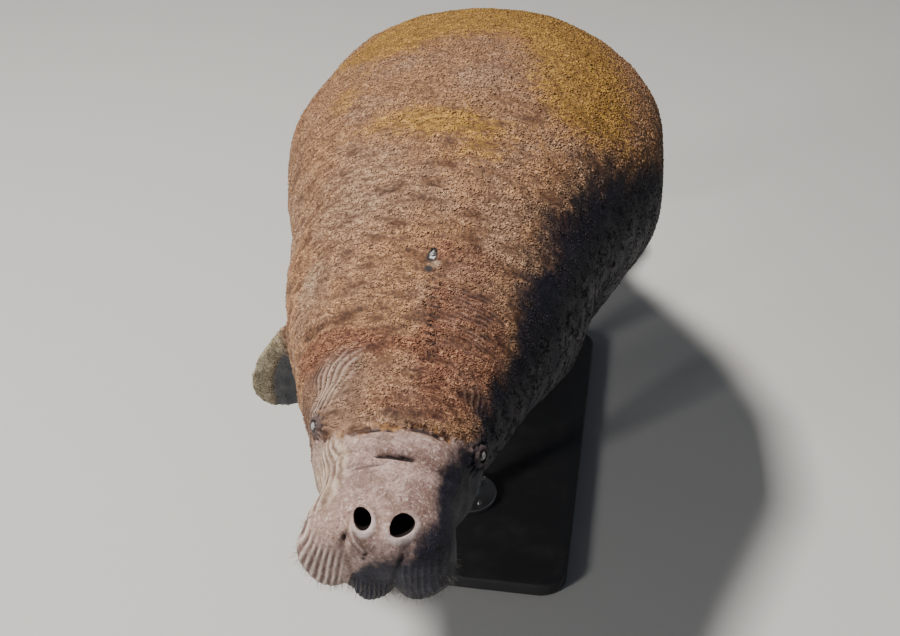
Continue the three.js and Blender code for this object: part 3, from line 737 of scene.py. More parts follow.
# Flippers. Two flat limbs, thick and wrinkled at the shoulder, with a leathery edge and
# the fingers just showing through. Each is rolled from a sheet like the hide and grown
# into it, so that there is no seam at the shoulder.
# Share of the length, half the breadth, half the thickness.
flipper_sections = [
    (0, 62, 44), (0.16, 66, 40), (0.34, 68, 31), (0.55, 78, 23), (0.75, 86, 17), (0.9, 84, 13), (1, 78, 11),
]  # fmt: skip
flippers = {
    "right": ((706, -215, -108), (735, -350, -168), (845, -362, -448), (-0.35, 0.85, 0.35)),
    "left": ((690, 170, -160), (740, 190, -300), (910, 105, -430), (0.75, -0.1, -0.65)),
}
chord_at, thick_at = smooth_through(flipper_sections, 1), smooth_through(flipper_sections, 2)


def flipper_frame(hand, t):
    shoulder, elbow, tip = (place_of(*at) for at in flippers[hand][:3])
    t = np.asarray(t, float)[..., None]
    centre = (1 - t) ** 2 * shoulder + 2 * t * (1 - t) * elbow + t * t * tip
    along = 2 * (1 - t) * (elbow - shoulder) + 2 * t * (tip - elbow)
    along = unit(2 * (1 - t) * (elbow - shoulder) + 2 * t * (tip - elbow))
    facing = np.array(flippers[hand][3])
    face = unit(facing - along * (along @ facing)[..., None])
    return centre, along, face, np.cross(along, face)


limbs = {}
for hand in flippers:
    limb = add("limb_" + hand, bpy.ops.mesh.primitive_grid_add, x_subdivisions=64, y_subdivisions=72, size=1)
    flat = rows_of(limb.data.vertices, "co") + 0.5
    row = flat[:, 1] * 72
    t = np.clip((row - 1) / 71, 0, 1) ** 0.9
    angle = flat[:, 0] * 2 * math.pi
    centre, along, face, edge = flipper_frame(hand, t)
    cap = np.clip((t - 0.8) / 0.2, 0, 1)
    round_off = np.sqrt(np.maximum(1 - cap**2.4, 0))
    start = np.clip(row, 0, 1)
    chord = chord_at(t) * round_off * start
    thick = thick_at(t) * round_off**0.6 * start * (round_off > 0)
    across, lift = chord * np.cos(angle), thick * np.sin(angle)
    places = centre + edge * across[:, None] + face * lift[:, None]
    up_here = unit(edge * (np.cos(angle) * thick)[:, None] + face * (np.sin(angle) * chord)[:, None])
    run = t * 420
    wrinkle = 1.6 * np.sin((run + 10 * grain(places, 60, 11)) * 2 * math.pi / 21) * soft_step(-t, -0.7, -0.2)
    fingers = sum(bell(across, lane, 9) for lane in (-46, -16, 14, 44)) * soft_step(t, 0.4, 0.6) * 2.0
    knuckles = 1.2 * fingers * np.sin(run * 2 * math.pi / 75)
    lumps = 1.4 * grain(places, 40, 12) + 0.8 * grain(places, 16, 13)
    worn_edge = -1.8 * np.abs(np.cos(angle)) ** 6 * (grain(places, 20, 14) + 0.4)
    inset = (wrinkle + fingers + knuckles + lumps + worn_edge - 2.2) * start * np.minimum(1, round_off * 4)
    places = places + up_here * inset[:, None]
    limb.data.vertices.foreach_set("co", to_frame(places).ravel())
    # On the flippers too the wrinkle measure drives painted shade in folds and painted highlight on ridges.
    folded = np.clip(0.5 + wrinkle / 5, 0, 1)
    sheet = {"s": 700 + 0 * t, "side": across, "up": lift, "limb": 0.02 + t * 0.98, "wrinkle": folded}
    sheet["flat_x"] = flat[:, 0] * 0.42 + (0.54 if hand == "left" else 0.03)
    sheet["flat_y"] = flat[:, 1] * 0.085 + 0.008
    for name in measures:
        write(limb.data, name, sheet.get(name, np.zeros(len(t))))
    close_up(limb)
    limbs[hand] = limb


def points_of(thing):
    return rows_of(thing.data.vertices, "co")


def read(thing, name):
    return rows_of(thing.data.attributes[name].data, "value", 1)[:, 0]


def tree_of(places):
    tree = kdtree.KDTree(len(places))
    for i, place in enumerate(places):
        tree.insert(place, i)
    tree.balance()
    return tree


skins = (hide, *limbs.values())
known = {name: np.concatenate([read(thing, name) for thing in skins]) for name in measures}
tree = tree_of(np.concatenate([points_of(thing) for thing in skins]))
for limb in limbs.values():
    only(hide)
    bpy.ops.object.modifier_add(type="BOOLEAN")
    joint = hide.modifiers[-1]
    joint.operation, joint.solver, joint.object = "UNION", "EXACT", limb
    bpy.ops.object.modifier_apply(modifier=joint.name)
    bpy.data.objects.remove(limb)

# The line where the limbs grow out is eased over about 30 mm.
points = points_of(hide)
found = [tree.find(p) for p in points]
nearest = np.array([f[1] for f in found])
is_new = np.array([f[2] for f in found]) > 2e-6
for name in measures:
    hide.data.attributes[name].data.foreach_set("value", known[name][nearest])
join_line = tree_of(points[is_new])
ease = np.zeros(len(points))
for i in np.nonzero(np.abs(read(hide, "s") - 760) < 260)[0]:
    ease[i] = max(0, 1 - join_line.find(points[i])[2] / 0.034)
ease = np.clip(ease * 1.6, 0, 1) * 0.6
ends = rows_of(hide.data.edges, "vertices", 2, int)
ends = ends[(ease[ends] > 0).any(1)]
for _ in range(14):
    total, count = np.zeros((len(points), 3)), np.zeros(len(points))
    for a, b in ((0, 1), (1, 0)):
        np.add.at(total, ends[:, a], points[ends[:, b]])
        np.add.at(count, ends[:, a], 1)
    mean = total / np.maximum(count, 1)[:, None]
    points = points + (mean - points) * (ease * (count > 0))[:, None]
hide.data.vertices.foreach_set("co", points.ravel())
close_up(hide, bpy.ops.mesh.dissolve_degenerate, 0.00001)

# Where the algae grows, where the hide is bare, red or pale: station, side, reaches, amount.
points = points_of(hide)
s, side, up, limb = (read(hide, name) for name in ("s", "side", "up", "limb"))
on_top = soft_step(up / reach_at(s, up), 0.0, 0.5)
on_body = limb <= 0


def patches(spots):
    return sum(much * bell(s, at, run) * bell(side, aside, wide) for at, aside, run, wide, much in spots)


gold = patches([
    (1250, -200, 110, 120, 1.15), (1330, -30, 90, 110, 0.95), (1080, 245, 110, 95, 1.0),
    (1240, 205, 130, 110, 0.9), (1030, -250, 45, 50, 0.5), (905, -30, 45, 150, 0.95),
    (830, 60, 40, 60, 0.4), (1450, 120, 160, 160, 0.8), (1500, -170, 160, 120, 0.7),
    (1800, 20, 200, 190, 0.6),
])  # fmt: skip
red = patches([
    (390, 45, 120, 22, 0.9), (300, 85, 50, 55, 0.8), (470, 100, 90, 55, 0.55), (580, 60, 40, 150, 0.5),
    (240, 20, 22, 90, 0.35), (690, 70, 60, 60, 0.4), (372, -110, 34, 60, 0.75), (368, 0, 26, 110, 0.5),
    (262, -25, 44, 60, 0.35), (330, -30, 44, 50, 0.3), (353, 125, 60, 50, 0.9), (440, 135, 60, 50, 0.6),
    (388, -165, 34, 55, 0.95), (330, -160, 34, 40, 0.5),
])  # fmt: skip
pale = patches([
    (560, -205, 36, 24, 0.5), (541, 33, 8, 9, 0.9), (500, -190, 30, 18, 0.25), (300, -118, 60, 26, 0.5),
    (720, -140, 160, 90, 0.3),
])  # fmt: skip
line_s = np.interp(side, *arc_line)
speckle = grain(points * 1000, 9, 33)
rust = bell(s - line_s, 3, 11) * np.clip(0.45 + 1.4 * speckle, 0, 1) * soft_step(-np.abs(side), -120, -90)
bare = soft_step(line_s + 6 - s + 7 * speckle, -9, 9) * on_body
temple_skin = within(s, 150, 215, 300, 400) * on_body * soft_step(-side, 44, 92)
cheek_skin = within(s, 48, 80, 180, 235) * soft_step(-side, 62, 86) * soft_step(-np.abs(up - 20), -64, -35)
# The dark part: the flank on the left and the front under the nostrils, up to a ragged line. It is partly wet
# hide and partly painted shade where the body turns away from the light.
lean = np.degrees(np.arctan2(side / half_at(s), up / reach_at(s, up)))
wet_shade_edge_s = [0, 95, 143, 190, 233, 420, 527, 737, 911, 1151, 1400, 2400]
wet_shade_edge = np.interp(s, wet_shade_edge_s, [26, 32, 36, 46, 52, 54, 48, 42, 50, 74, 96, 112])
ragged = 10 * grain(points * 1000, 120, 31) + 7 * grain(points * 1000, 30, 32) + 6 * speckle
under = soft_step(lean - wet_shade_edge + ragged, -13, 15) * (side > 0)
under = np.maximum(under, soft_step(-lean - 118 + ragged, -14, 14) * (side <= 0) * soft_step(s, 60, 140))
front_side = [-44, -34, -26, -12, 2, 15, 34, 52, 70, 90]
front_line = np.interp(side, front_side, [-130, -40, -5, 25, 38, 44, 50, 52, 68, 90])
in_front = soft_step(front_line - up + 9 * speckle + 5 * grain(points * 1000, 4, 34), -20, 26)
under = np.maximum(under, in_front * soft_step(-s, -80, -45))
under = under * (1 - 0.22 * soft_step(np.abs(lean), 100, 140) * soft_step(s, 120, 300))


def crest_of(places, s):
    """Uneven ridges of algae across the body: 1 on a ridge, 0 in a gap."""
    squeezed = np.stack([places[:, 0] * 400, places[:, 1] * 1000, places[:, 2] * 480], -1)
    broad, narrow = (np.abs(grain(squeezed, size, seed)) for size, seed in ((28, 41), (11, 42)))
    ridges = 0.6 * (1 - 2.2 * broad) + 0.4 * (1 - 2.0 * narrow)
    return 0.55 + (np.clip(0.55 + 1.45 * (ridges - 0.55), 0, 1) - 0.55) * (1 - 0.6 * soft_step(s, 750, 1150))


chips = bell(s, 561, 15) * bell(side - 0.25 * (s - 561), 22, 7) + 0.8 * bell(s, 530, 8) * bell(side, 19, 6)
leading = soft_step(-side, 34, 56)
# The flipper's underside, to be painted dark as painted shade.
shaded_palm = soft_step(limb, 0.30, 0.45) * soft_step(-up, -6, 2) * (1 - leading)
markings = {
    "gold": gold * on_top * on_body,
    "red": red * on_top * on_body,
    "rust": rust * (up > 0) * on_body,
    "pale": pale * (up > 0) * on_body,
    "bare": bare,
    "temple": temple_skin,
    "cheek": cheek_skin * on_body,
    "under": under * on_body,
    "scar": chips * (up > 0) * on_body,
    "shaded_palm": shaded_palm,
    # The leading edge and upper face: cream algae, paler as painted light.
    "cream_and_lit": soft_step(limb, 0.22, 0.38) * np.maximum(leading, 0.6 * soft_step(up, -8, 6)),
    "tip": np.zeros(len(s)),
    "crest": crest_of(points, s),
    "grey": soft_step(s, 1350, 2300) * on_body,
}
for name, values in markings.items():
    write(hide.data, name, np.clip(values, 0, 1))
marks = {name: read(hide, name) for name in (*measures, *markings)}

hide_finish = new_finish("manatee_hide")


def amount_of(name):
    return node("Attribute", {"attribute_name": name}).outputs["Fac"]


def reckon(way, *values):
    return node("Math", {"operation": way}, **{f"i{k}": value for k, value in enumerate(values)}).outputs[0]


def patchy(name, ripple, low, high):
    """A marking whose edge is broken up by a ripple."""
    return between(reckon("ADD", amount_of(name), ripple), low, high)


def washed(colour, *washes):
    """Lay hues over a colour, each where a pattern goes from low to high, as strongly as given."""
    for hue, pattern, low, high, strength in washes:
        colour = layer(between(pattern, low, high, 0.0, strength), colour, hue)
    return colour


spot = node("TexCoord").outputs["Object"]
broad = cloudy(spot, 6.0, 4.0, 0.6)
mottle = cloudy(spot, 30.0, 6.0, 0.68)
grit = cloudy(spot, 210.0, 5.0, 0.7)
fine = cloudy(spot, 420.0, 4.0, 0.7)
streaks = cloudy(node("Mapping", Vector=spot, Scale=(0.35, 1.0, 1.0)).outputs[0], 130.0, 5.0, 0.66)
warp = node("TexNoise", Vector=spot, Scale=75.0, Detail=3.0).outputs["Color"]
bent = node("VectorMath", {"operation": "MULTIPLY_ADD"}, i0=warp, i1=(0.022,) * 3, i2=spot).outputs[0]
clumps = node("TexVoronoi", Vector=bent, Scale=170.0)
clump_tint = node("SeparateColor", i0=clumps.outputs["Color"]).outputs[0]
clump_height = between(clumps.outputs["Distance"], 0.05, 0.8, 1.0, 0.0)
ripple = reckon("MULTIPLY_ADD", layer(0.5, mottle, streaks), 2.4, -0.7)
gold_mask = patchy("gold", ripple, 0.70, 1.30)
halo_mask = patchy("gold", ripple, 0.45, 0.95)
red_mask = patchy("red", grit, 0.60, 1.35)
bare_mask = patchy("bare", mottle, 0.80, 1.28)
temple_mask = patchy("temple", mottle, 0.5, 1.4)
grey_mask = patchy("grey", broad, 0.55, 1.35)
wrinkle = amount_of("wrinkle")
# Light on the high parts of the grain and toward the tufts' tips, dark in the low parts: partly the grain's
# own tone, partly painted light and shade.
hide_height = layer(0.22, layer(0.45, grit, streaks), clump_height)
light_grains = layer(temple_mask, between(hide_height, 0.32, 0.60), (0.62, 0.62, 0.62))
light_grains = washed(light_grains, ((1.0, 1.0, 1.0), amount_of("tip"), 0.0, 1.0, 0.42))

# The trunk: tan grains over a dark purple-brown ground, with golden and rusty algae. The ground fills the low
# parts of the grain, so it is partly the hide's own colour and partly painted shade in the hollows.
gold_hue = layer(between(streaks, 0.40, 0.60), (0.36, 0.20, 0.055), (0.55, 0.335, 0.065))
tan = washed(
    layer(between(broad, 0.38, 0.62), (0.51, 0.295, 0.155), (0.50, 0.335, 0.225)),
    ((0.34, 0.21, 0.14), mottle, 0.35, 0.65, 0.5),
    ((0.47, 0.245, 0.09), halo_mask, 0.0, 1.0, 0.6),
    (gold_hue, gold_mask, 0.0, 1.0, 0.92),
    ((0.31, 0.145, 0.09), red_mask, 0.0, 1.0, 0.8),
    ((0.235, 0.148, 0.108), temple_mask, 0.0, 1.0, 0.85),
)
tan = layer(grey_mask, tan, (0.27, 0.225, 0.18))
tan = layer(1.0, tan, layer(clump_tint, (0.66, 0.63, 0.61), (1.20, 1.19, 1.17)), "MULTIPLY")
tan = washed(tan, (layer(gold_mask, (0.72, 0.51, 0.35), (0.74, 0.48, 0.13)), hide_height, 0.54, 0.74, 0.8))
ground = layer(gold_mask, (0.16, 0.09, 0.065), (0.27, 0.16, 0.065))
ground = layer(red_mask, ground, (0.10, 0.036, 0.027))
ground = layer(grey_mask, ground, (0.085, 0.07, 0.06))
# Darker in the gaps between the algae ridges and lighter on the ridges: painted shade and painted light.
ridge_shade = layer(amount_of("crest"), (0.33, 0.27, 0.245), (1.34, 1.34, 1.33))
ripple_shade = layer(between(ripple, 0.25, 0.75), (0.90, 0.88, 0.87), (1.10, 1.10, 1.10))
ridge_shade = layer(1.0, ridge_shade, ripple_shade, "MULTIPLY")
trunk_hue = layer(1.0, layer(light_grains, ground, tan), ridge_shade, "MULTIPLY")
# The snout: pinkish grey, mottled, with faint pale dots and dark specks.
dots = between(node("TexVoronoi", Vector=bent, Scale=120.0).outputs["Distance"], 0.08, 0.34, 1.0, 0.0)
flecks = cloudy(bent, 165.0, 2.0, 0.6)
cheek_hue = layer(between(mottle, 0.35, 0.65), (0.20, 0.135, 0.085), (0.47, 0.37, 0.235))
snout_hue = washed(
    layer(between(mottle, 0.38, 0.66), (0.22, 0.138, 0.122), (0.48, 0.345, 0.325)),
    ((0.36, 0.25, 0.19), broad, 0.40, 0.62, 0.6),
    (cheek_hue, amount_of("cheek"), 0.0, 1.0, 0.75),
)
snout_hue = washed(
    layer(reckon("MULTIPLY", dots, 0.5), snout_hue, (0.70, 0.56, 0.52)),
    ((0.17, 0.10, 0.085), grit, 0.47, 0.64, 0.7),
    ((0.22, 0.13, 0.12), streaks, 0.50, 0.66, 0.5),
    ((0.62, 0.48, 0.44), fine, 0.54, 0.70, 0.6),
    ((0.66, 0.54, 0.52), flecks, 0.57, 0.68, 0.55),
    ((0.15, 0.09, 0.085), flecks, 0.42, 0.34, 0.75),
    # Raised wrinkles painted paler: painted highlight.
    ((0.64, 0.52, 0.49), wrinkle, 0.62, 0.92, 0.6),
)
colour = layer(bare_mask, trunk_hue, snout_hue)
pale_hue = layer(light_grains, (0.18, 0.105, 0.075), (0.56, 0.41, 0.29))
colour = layer(patchy("pale", streaks, 0.6, 1.25), colour, pale_hue)
rust_hue = layer(between(mottle, 0.45, 0.6), (0.065, 0.028, 0.016), (0.40, 0.21, 0.09))
# Rusty algae along the fold over the snout, then painted shade darkening the folds and creases, most in the
# deepest.
colour = washed(
    layer(patchy("rust", grit, 0.75, 1.1), colour, rust_hue),
    ((0.075, 0.045, 0.04), wrinkle, 0.5, 0.0, 0.85),
    ((0.016, 0.010, 0.013), wrinkle, 0.14, 0.0, 0.9),
)
# The drawn lines: narrow grooves painted dark as shade, between ridges painted pale as highlight.
wave = reckon("SINE", reckon("MULTIPLY", amount_of("phase"), 2 * math.pi))
lines = amount_of("lines")
groove_shade = reckon("MULTIPLY", between(wave, -0.35, -0.95, 0.0, 0.9), lines)
crest_highlight = reckon("MULTIPLY", between(wave, 0.05, 0.85, 0.0, 0.8), lines)
colour = layer(groove_shade, colour, (0.10, 0.06, 0.055))
colour = layer(crest_highlight, colour, layer(bare_mask, (0.42, 0.32, 0.27), (0.68, 0.57, 0.53)))
# The dark part, wet hide and painted shade with faint bluish painted glints, then the rims and insides of the
# nostrils, the lids and the mouth.
wet_and_shade_hue = layer(between(hide_height, 0.3, 0.7), (0.0005, 0.002, 0.008), (0.006, 0.012, 0.036))
wet_and_shade_hue = washed(wet_and_shade_hue, ((0.13, 0.14, 0.18), fine, 0.56, 0.70, 0.45))
wet_and_shade_hue = layer(crest_highlight, wet_and_shade_hue, (0.055, 0.060, 0.080))
colour = washed(
    colour,
    (wet_and_shade_hue, amount_of("under"), 0.0, 1.0, 0.96),
    # The nostrils' pale crescents: painted highlight.
    ((0.64, 0.53, 0.54), amount_of("rim"), 0.15, 0.95, 0.85),
)
colour = washed(
    # The nostrils' passages painted near-black: painted shade.
    layer(amount_of("passage"), colour, (0.01, 0.007, 0.007)),
    ((0.08, 0.055, 0.06), amount_of("lid"), 0.25, 0.9, 0.9),
    # The mouth's groove painted dark: painted shade.
    ((0.045, 0.033, 0.033), amount_of("mouth"), 0.2, 1.0, 1.0),
)
# The flippers' palms painted dark as painted shade, their edges and upper faces cream algae made paler as
# painted light, and the scar's pale chips in a dark bed.
colour = layer(amount_of("shaded_palm"), colour, layer(mottle, (0.025, 0.028, 0.036), (0.075, 0.078, 0.085)))
colour = layer(amount_of("cream_and_lit"), colour, layer(light_grains, (0.16, 0.13, 0.08), (0.50, 0.44, 0.31)))
scar = amount_of("scar")
scar_hue = layer(between(grit, 0.47, 0.50), (0.02, 0.02, 0.025), (0.66, 0.68, 0.68))
scar_hue = layer(between(scar, 0.6, 0.4), scar_hue, (0.02, 0.02, 0.025))
colour = layer(between(scar, 0.15, 0.35), colour, scar_hue)
rough_height = layer(0.25, hide_height, fine)
smooth_height = layer(0.12, layer(0.6, mottle, grit), dots)
height = layer(bare_mask, rough_height, smooth_height)
height = reckon("MULTIPLY_ADD", reckon("MULTIPLY", wave, lines), 0.22, height)
shader(
    Base_Color=colour,
    Roughness=between(mottle, 0.3, 0.7, 0.46, 0.7),
    Specular_IOR_Level=0.25,
    Normal=bump(0.9, 0.0040, height),
)
hide.data.materials.append(hide_finish)
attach(hide, "root")
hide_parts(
    "muzzle", "lower_jaw", "head", "neck", "chest", "belly", "rump", "tail_stock", "tail_paddle",
    "flipper_left", "flipper_right",
)  # fmt: skip

# Algae coat. Short soft algae over the back, the flanks, the tail and the leading edge of
# the flippers. It grows in small clumps, each a low tuft with its point combed back.
rng = np.random.default_rng(5)


def scatter(name, shape, roots, ups, facing, lengths, widths, breadths, marked, coat):
    """Copies of one small shape, each stood on the hide at its root, joined into one mesh."""
    co = np.array([v.co for v in shape.data.vertices])
    faces = [tuple(p.vertices) for p in shape.data.polygons]
    y = unit(np.cross(ups, facing))
    x = np.cross(y, ups)
    spread = x[:, None] * (co[None, :, :1] * widths[:, None, None])
    spread = spread + y[:, None] * (co[None, :, 1:2] * breadths[:, None, None])
    points = roots[:, None] + spread + ups[:, None] * (co[None, :, 2:] * lengths[:, None, None])
    kept = ((points > np.array(cad_low) + 0.0004) & (points < np.array(cad_high) - 0.0004)).all((1, 2))
    points, flat_at = points[kept], np.stack([marked["flat_x"], marked["flat_y"]], -1)[kept]
    count, each = len(points), len(co)
    corners = np.array([v for f in faces for v in f])
    sizes = np.array([len(f) for f in faces])
    made = bpy.data.meshes.new(name)
    made.vertices.add(count * each)
    made.vertices.foreach_set("co", points.ravel())
    made.loops.add(count * len(corners))
    loops = (corners[None] + (np.arange(count) * each)[:, None]).ravel()
    made.loops.foreach_set("vertex_index", loops.astype(np.int32))
    made.polygons.add(count * len(faces))
    starts = np.concatenate([[0], np.cumsum(np.tile(sizes, count))[:-1]])
    made.polygons.foreach_set("loop_start", starts.astype(np.int32))
    made.update(calc_edges=True)
    made.validate()
    # Each copy is a small patch at its root's place on the hide laid out flat.
    within = (co[:, :2] - co[:, :2].mean(0)) / np.ptp(co[:, :2], axis=0) * 0.003
    uv = (flat_at[:, None] + within[None]).reshape(-1, 2)[loops]
    made.uv_layers.new(name="OFBake").data.foreach_set("uv", uv.ravel())
    for mark, values in marked.items():
        to_tip = np.tile(np.clip(co[:, 2], 0, 1), count)
        write(made, mark, to_tip if mark == "tip" else np.repeat(values[kept], each))
    made.polygons.foreach_set("use_smooth", [True] * len(made.polygons))
    made.materials.append(coat)
    thing = bpy.data.objects.new(name, made)
    bpy.context.collection.objects.link(thing)
    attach(thing, "root")


cone = bpy.ops.mesh.primitive_cone_add
tuft_shape = add("tuft", cone, (0, 0, 0.5), vertices=4, radius1=0.5, radius2=0, depth=1)
for v in tuft_shape.data.vertices:
    v.co.x += 0.6 * max(0, v.co.z)

hide.data.calc_loop_triangles()
corner = rows_of(hide.data.loop_triangles, "vertices", 3, int)
points, normals = points_of(hide), rows_of(hide.data.vertices, "normal")
first, second, third = (points[corner[:, k]] for k in (0, 1, 2))
area = np.linalg.norm(np.cross(second - first, third - first), axis=1)
s, up, limb = (marks[name] for name in ("s", "up", "limb"))
dry = (1 - 0.75 * marks["under"]) * (1 - soft_step(marks["bare"], 0.3, 0.8))
dry = dry * (1 - 0.75 * marks["temple"] * soft_step(-s, -350, -300))
dry = dry * (1 - soft_step(marks["lid"], 0.05, 0.2)) * (1 - marks["scar"])
dry = dry * (1 - 0.9 * soft_step(marks["lines"], 0.35, 0.8))
belly = soft_step(-up / reach_at(s, up), 0.35, 0.8)
dry = dry * np.where(s > 2250, 1 - 0.6 * (up < 0), 1 - 0.9 * belly)
for name, low_s, high_s, count, size in (
    ("algae_neck", 215, 560, 31000, 0.0033),
    ("algae_shoulders", 560, 900, 32000, 0.0041),
    ("algae_back", 900, 1300, 32400, 0.0050),
    ("algae_rump", 1300, 2000, 32400, 0.0056),
    ("algae_tail", 2000, 2945, 31000, 0.0050),
    ("algae_flippers", 0, 0, 18000, 0.0031),
):
    if high_s:
        grows = dry * soft_step(s, low_s - 12, low_s + 12) * soft_step(-s, -high_s - 12, -high_s + 12)
        grows = grows * (limb <= 0)
    else:
        grows = (limb > 0.05) * (0.06 + marks["cream_and_lit"]) * (1 - 0.9 * marks["shaded_palm"])
    chance = area * (grows * (0.4 + marks["crest"]))[corner].mean(1)
    chosen = rng.choice(len(corner), count, p=chance / chance.sum())
    shares = rng.dirichlet((1, 1, 1), count)
    roots = (points[corner[chosen]] * shares[:, :, None]).sum(1)
    ups = (normals[corner[chosen]] * shares[:, :, None]).sum(1)
    marked = {mark: (values[corner[chosen]] * shares).sum(1) for mark, values in marks.items()}
    # Back along the body, within the skin.
    back = np.array([0.0, 1.0, 0.0]) - ups * ups[:, 1:2]
    back = back + 0.22 * rng.normal(0, 1, (count, 3))
    lean = unit(ups + back * rng.uniform(0.25, 0.75, (count, 1)) + rng.normal(0, 0.16, (count, 3)))
    marked["crest"] = crest = crest_of(roots, marked["s"])
    lengths = size * rng.uniform(0.5, 1.05, count) * (0.35 + 1.05 * crest) * (1 - 0.4 * marked["under"])
    breadths = size * rng.uniform(0.9, 2.6, count)
    widths = size * rng.uniform(0.4, 0.75, count)
    roots = roots + ups * (0.0014 * (crest - 0.55) - 0.22 * lengths)[:, None]
    scatter(name, tuft_shape, roots, lean, back, lengths, widths, breadths, marked, hide_finish)
bpy.data.objects.remove(tuft_shape)

# Eyes. Small dark balls, wet, with the grey third lid drawn half across them. Each sits
# in its socket behind the puckered lids.
eye_radius = 0.0125
eye_finish = new_finish("wet_eye")
spot = node("TexCoord").outputs["UV"]
veins = cloudy(spot, 22.0, 4.0)
lid_cover = between(node("SeparateXYZ", i0=spot).outputs[1], 0.80, 0.86)
iris = layer(veins, (0.012, 0.009, 0.008), (0.035, 0.024, 0.018))
lid_grey = layer(veins, (0.22, 0.215, 0.24), (0.40, 0.39, 0.42))
shader(Base_Color=layer(lid_cover, iris, lid_grey), Roughness=0.32, Coat_Weight=0.15)


def stand_up(thing, place, *axes):
    """Set a shape on the animal, its own axes turned to three directions."""
    turn = Matrix([Vector(axis) for axis in axes]).transposed().to_4x4()
    thing.data.transform(Matrix.Translation(Vector(place)) @ turn)
    if turn.determinant() < 0:
        thing.data.flip_normals()


ball_shape = bpy.ops.mesh.primitive_uv_sphere_add
for hand, word in ((1, "left"), (-1, "right")):
    centre, outside, ahead, over = eye_places[hand]
    ball = add("eyeball_" + word, ball_shape, segments=40, ring_count=28, radius=eye_radius)
    # The pole looks out of the socket; the cornea bulges a little.
    for v in ball.data.vertices:
        v.co.z += 0.0008 * max(0, v.co.z / eye_radius) ** 6
    stand_up(ball, to_frame(centre - outside * 8.2), ahead, over, outside)
    ball.data.materials.append(eye_finish)
    only(ball)
    bpy.ops.object.shade_smooth()
    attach(ball, "root")
    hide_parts("eye_" + word)

# Nails. Three flat horn nails along the tip of each flipper, on its outer face.
horn = new_finish("nail_horn")
spot = node("TexCoord").outputs["Object"]
growth = cloudy(spot, 160.0, 3.0)
stain = between(cloudy(spot, 45.0, 5.0), 0.4, 0.65)
shader(
    Base_Color=layer(stain, (0.50, 0.47, 0.39), (0.26, 0.22, 0.16)),
    Roughness=0.35,
    Normal=bump(0.3, 0.0006, growth),
)
nail_shape = add("nail", ball_shape, segments=28, ring_count=16, radius=1)
for v in nail_shape.data.vertices:
    x, y, z = v.co
    v.co = (x * 0.0108 * (1 - 0.12 * y), y * 0.0165, z * 0.0042 + 0.0012 * (1 - x * x) * (z > 0))
for hand in flippers:
    nails = []
    for lane in (-1, 0, 1):
        t = 0.93 - 0.035 * abs(lane)
        centre, along, face, edge = (v[0] for v in flipper_frame(hand, np.array([t])))
        cap = max(0, (t - 0.8) / 0.2)
        lift = float(thick_at(t)) * math.sqrt(1 - cap**2.4) ** 0.6 - 1.5
        at = to_frame(centre + edge * lane * 30 + face * lift)
        nail = nail_shape.copy()
        nail.data = nail_shape.data.copy()
        bpy.context.collection.objects.link(nail)
        stand_up(nail, at, edge, along, face)
        nail.data.materials.append(horn)
        nails.append(nail)
    only(*nails)
    bpy.ops.object.join()
    nails[0].name = nails[0].data.name = "nails_" + hand
    bpy.ops.object.shade_smooth()
    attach(nails[0], "root")
bpy.data.objects.remove(nail_shape)

# Bristles. Stiff pale hairs on the lip pads, the middle lobe and the chin, each a thin
# tapering spine with a slight bend, set into the hide.
rng = np.random.default_rng(7)
bristle_shape = add("bristle", cone, (0, 0, 0.5), vertices=4, radius1=0.5, radius2=0.12, depth=1)
pick(bristle_shape, edges=lambda e: rise_of(e) > 0.5)
bpy.ops.mesh.subdivide(number_cuts=2)
bpy.ops.object.mode_set(mode="OBJECT")
for v in bristle_shape.data.vertices:
    v.co.x += 0.9 * v.co.z**2
s, side, up, limb = (marks[name] for name in ("s", "side", "up", "limb"))
over_mouth = up - mouth_height(side)
pads = (s < 75) & (np.abs(side) > 34) & (up < -8) & (over_mouth > 4) & (limb <= 0)
pad_edge = pads & ((over_mouth < 26) | (np.abs(side) > 104))
lobe = (s < 40) & (np.abs(side) < 36) & (up < -34) & (over_mouth > 3)
cheeks = (s > 20) & (s < 110) & (np.abs(side) > 84) & (up < 5) & (up > -60) & (over_mouth > 0)
chin = (s < 90) & (over_mouth < -18) & (over_mouth > -50) & (np.abs(side) < 80)
regions = ((pads, 80), (pad_edge, 170), (lobe, 70), (chin, 50), (cheeks, 70))
chosen = [rng.choice(np.nonzero(region)[0], count, replace=False) for region, count in regions]
chosen = np.concatenate(chosen)
pale_hair = new_finish("pale_bristle")
tone = cloudy(node("TexCoord").outputs["Object"], 300.0)
shader(Base_Color=layer(tone, (0.14, 0.115, 0.09), (0.40, 0.36, 0.30)), Roughness=0.5)
ups = unit(normals[chosen] + rng.normal(0, 0.28, (len(chosen), 3)) + np.array([0, -0.1, -0.35]))
thick = rng.uniform(0.00045, 0.0008, len(chosen))
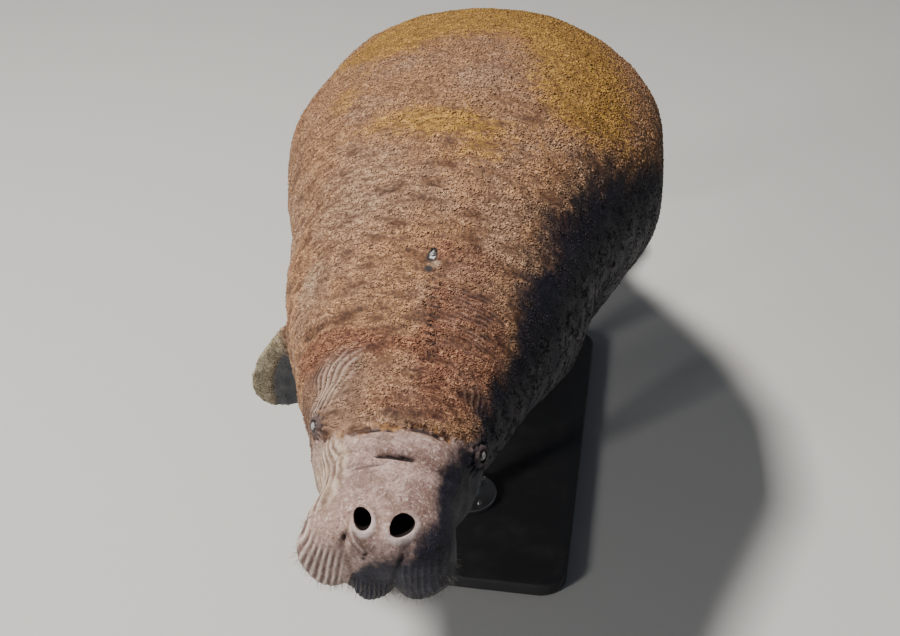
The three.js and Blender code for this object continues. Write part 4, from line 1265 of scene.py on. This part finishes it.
scatter(
    "bristles",
    bristle_shape,
    points[chosen] - normals[chosen] * 0.001,
    ups,
    rng.normal(0, 1, (len(chosen), 3)),
    rng.uniform(0.007, 0.017, len(chosen)),
    thick,
    thick,
    {mark: values[chosen] for mark, values in marks.items()},
    pale_hair,
)
bpy.data.objects.remove(bristle_shape)

# Studio. A pale floor, one big soft lamp high on the left and a weak even light round it.
plane = bpy.ops.mesh.primitive_plane_add
floor = add("floor", plane, (0, 0, float(cad_low.z)), size=50)
floor.data.materials.append(new_finish("pale_floor"))
shader(Base_Color=(0.55, 0.56, 0.57, 1), Roughness=0.8)
floor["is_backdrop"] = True

target = Vector(to_frame(place_of(700, 0, 0)))
for name, size, watts, light, towards, away in (
    ("key", 1.1, 1165, (1.0, 0.93, 0.83), (-0.35, 0.0, 0.94), 8),
    ("side", 1.2, 235, (1.0, 0.95, 0.88), (-0.66, -0.68, 0.32), 7),
):
    lamp = bpy.data.lights.new(name, "AREA")
    lamp.size, lamp.energy, lamp.color = size, watts, light
    lamp_stand = bpy.data.objects.new(name, lamp)
    bpy.context.collection.objects.link(lamp_stand)
    lamp_stand.location = target + Vector(towards) * away
    lamp_stand.rotation_euler = (target - lamp_stand.location).to_track_quat("-Z", "Y").to_euler()
world = bpy.data.worlds.new("studio")
bpy.context.scene.world = world
world.use_nodes = True
evenly = world.node_tree.nodes["Background"].inputs
evenly[0].default_value, evenly[1].default_value = (0.80, 0.88, 1.0, 1), 0.085

# Camera, at the photograph's place.
lens = bpy.data.cameras.new("camera")
lens.lens, lens.sensor_width = 51.84, 36
lens.clip_start, lens.clip_end = 0.1, 60
camera = bpy.data.objects.new("camera", lens)
bpy.context.collection.objects.link(camera)
right, over, back = (0.9878, 0.1559, 0.0), (-0.0856, 0.5422, 0.8359), (0.1303, -0.8257, 0.5489)
turn = Matrix((right, over, back)).transposed().to_4x4()
camera.matrix_world = Matrix.Translation(Vector(to_frame((351.3, -1424.5, 1433.0)))) @ turn
bpy.context.scene.camera = camera

low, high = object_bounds()
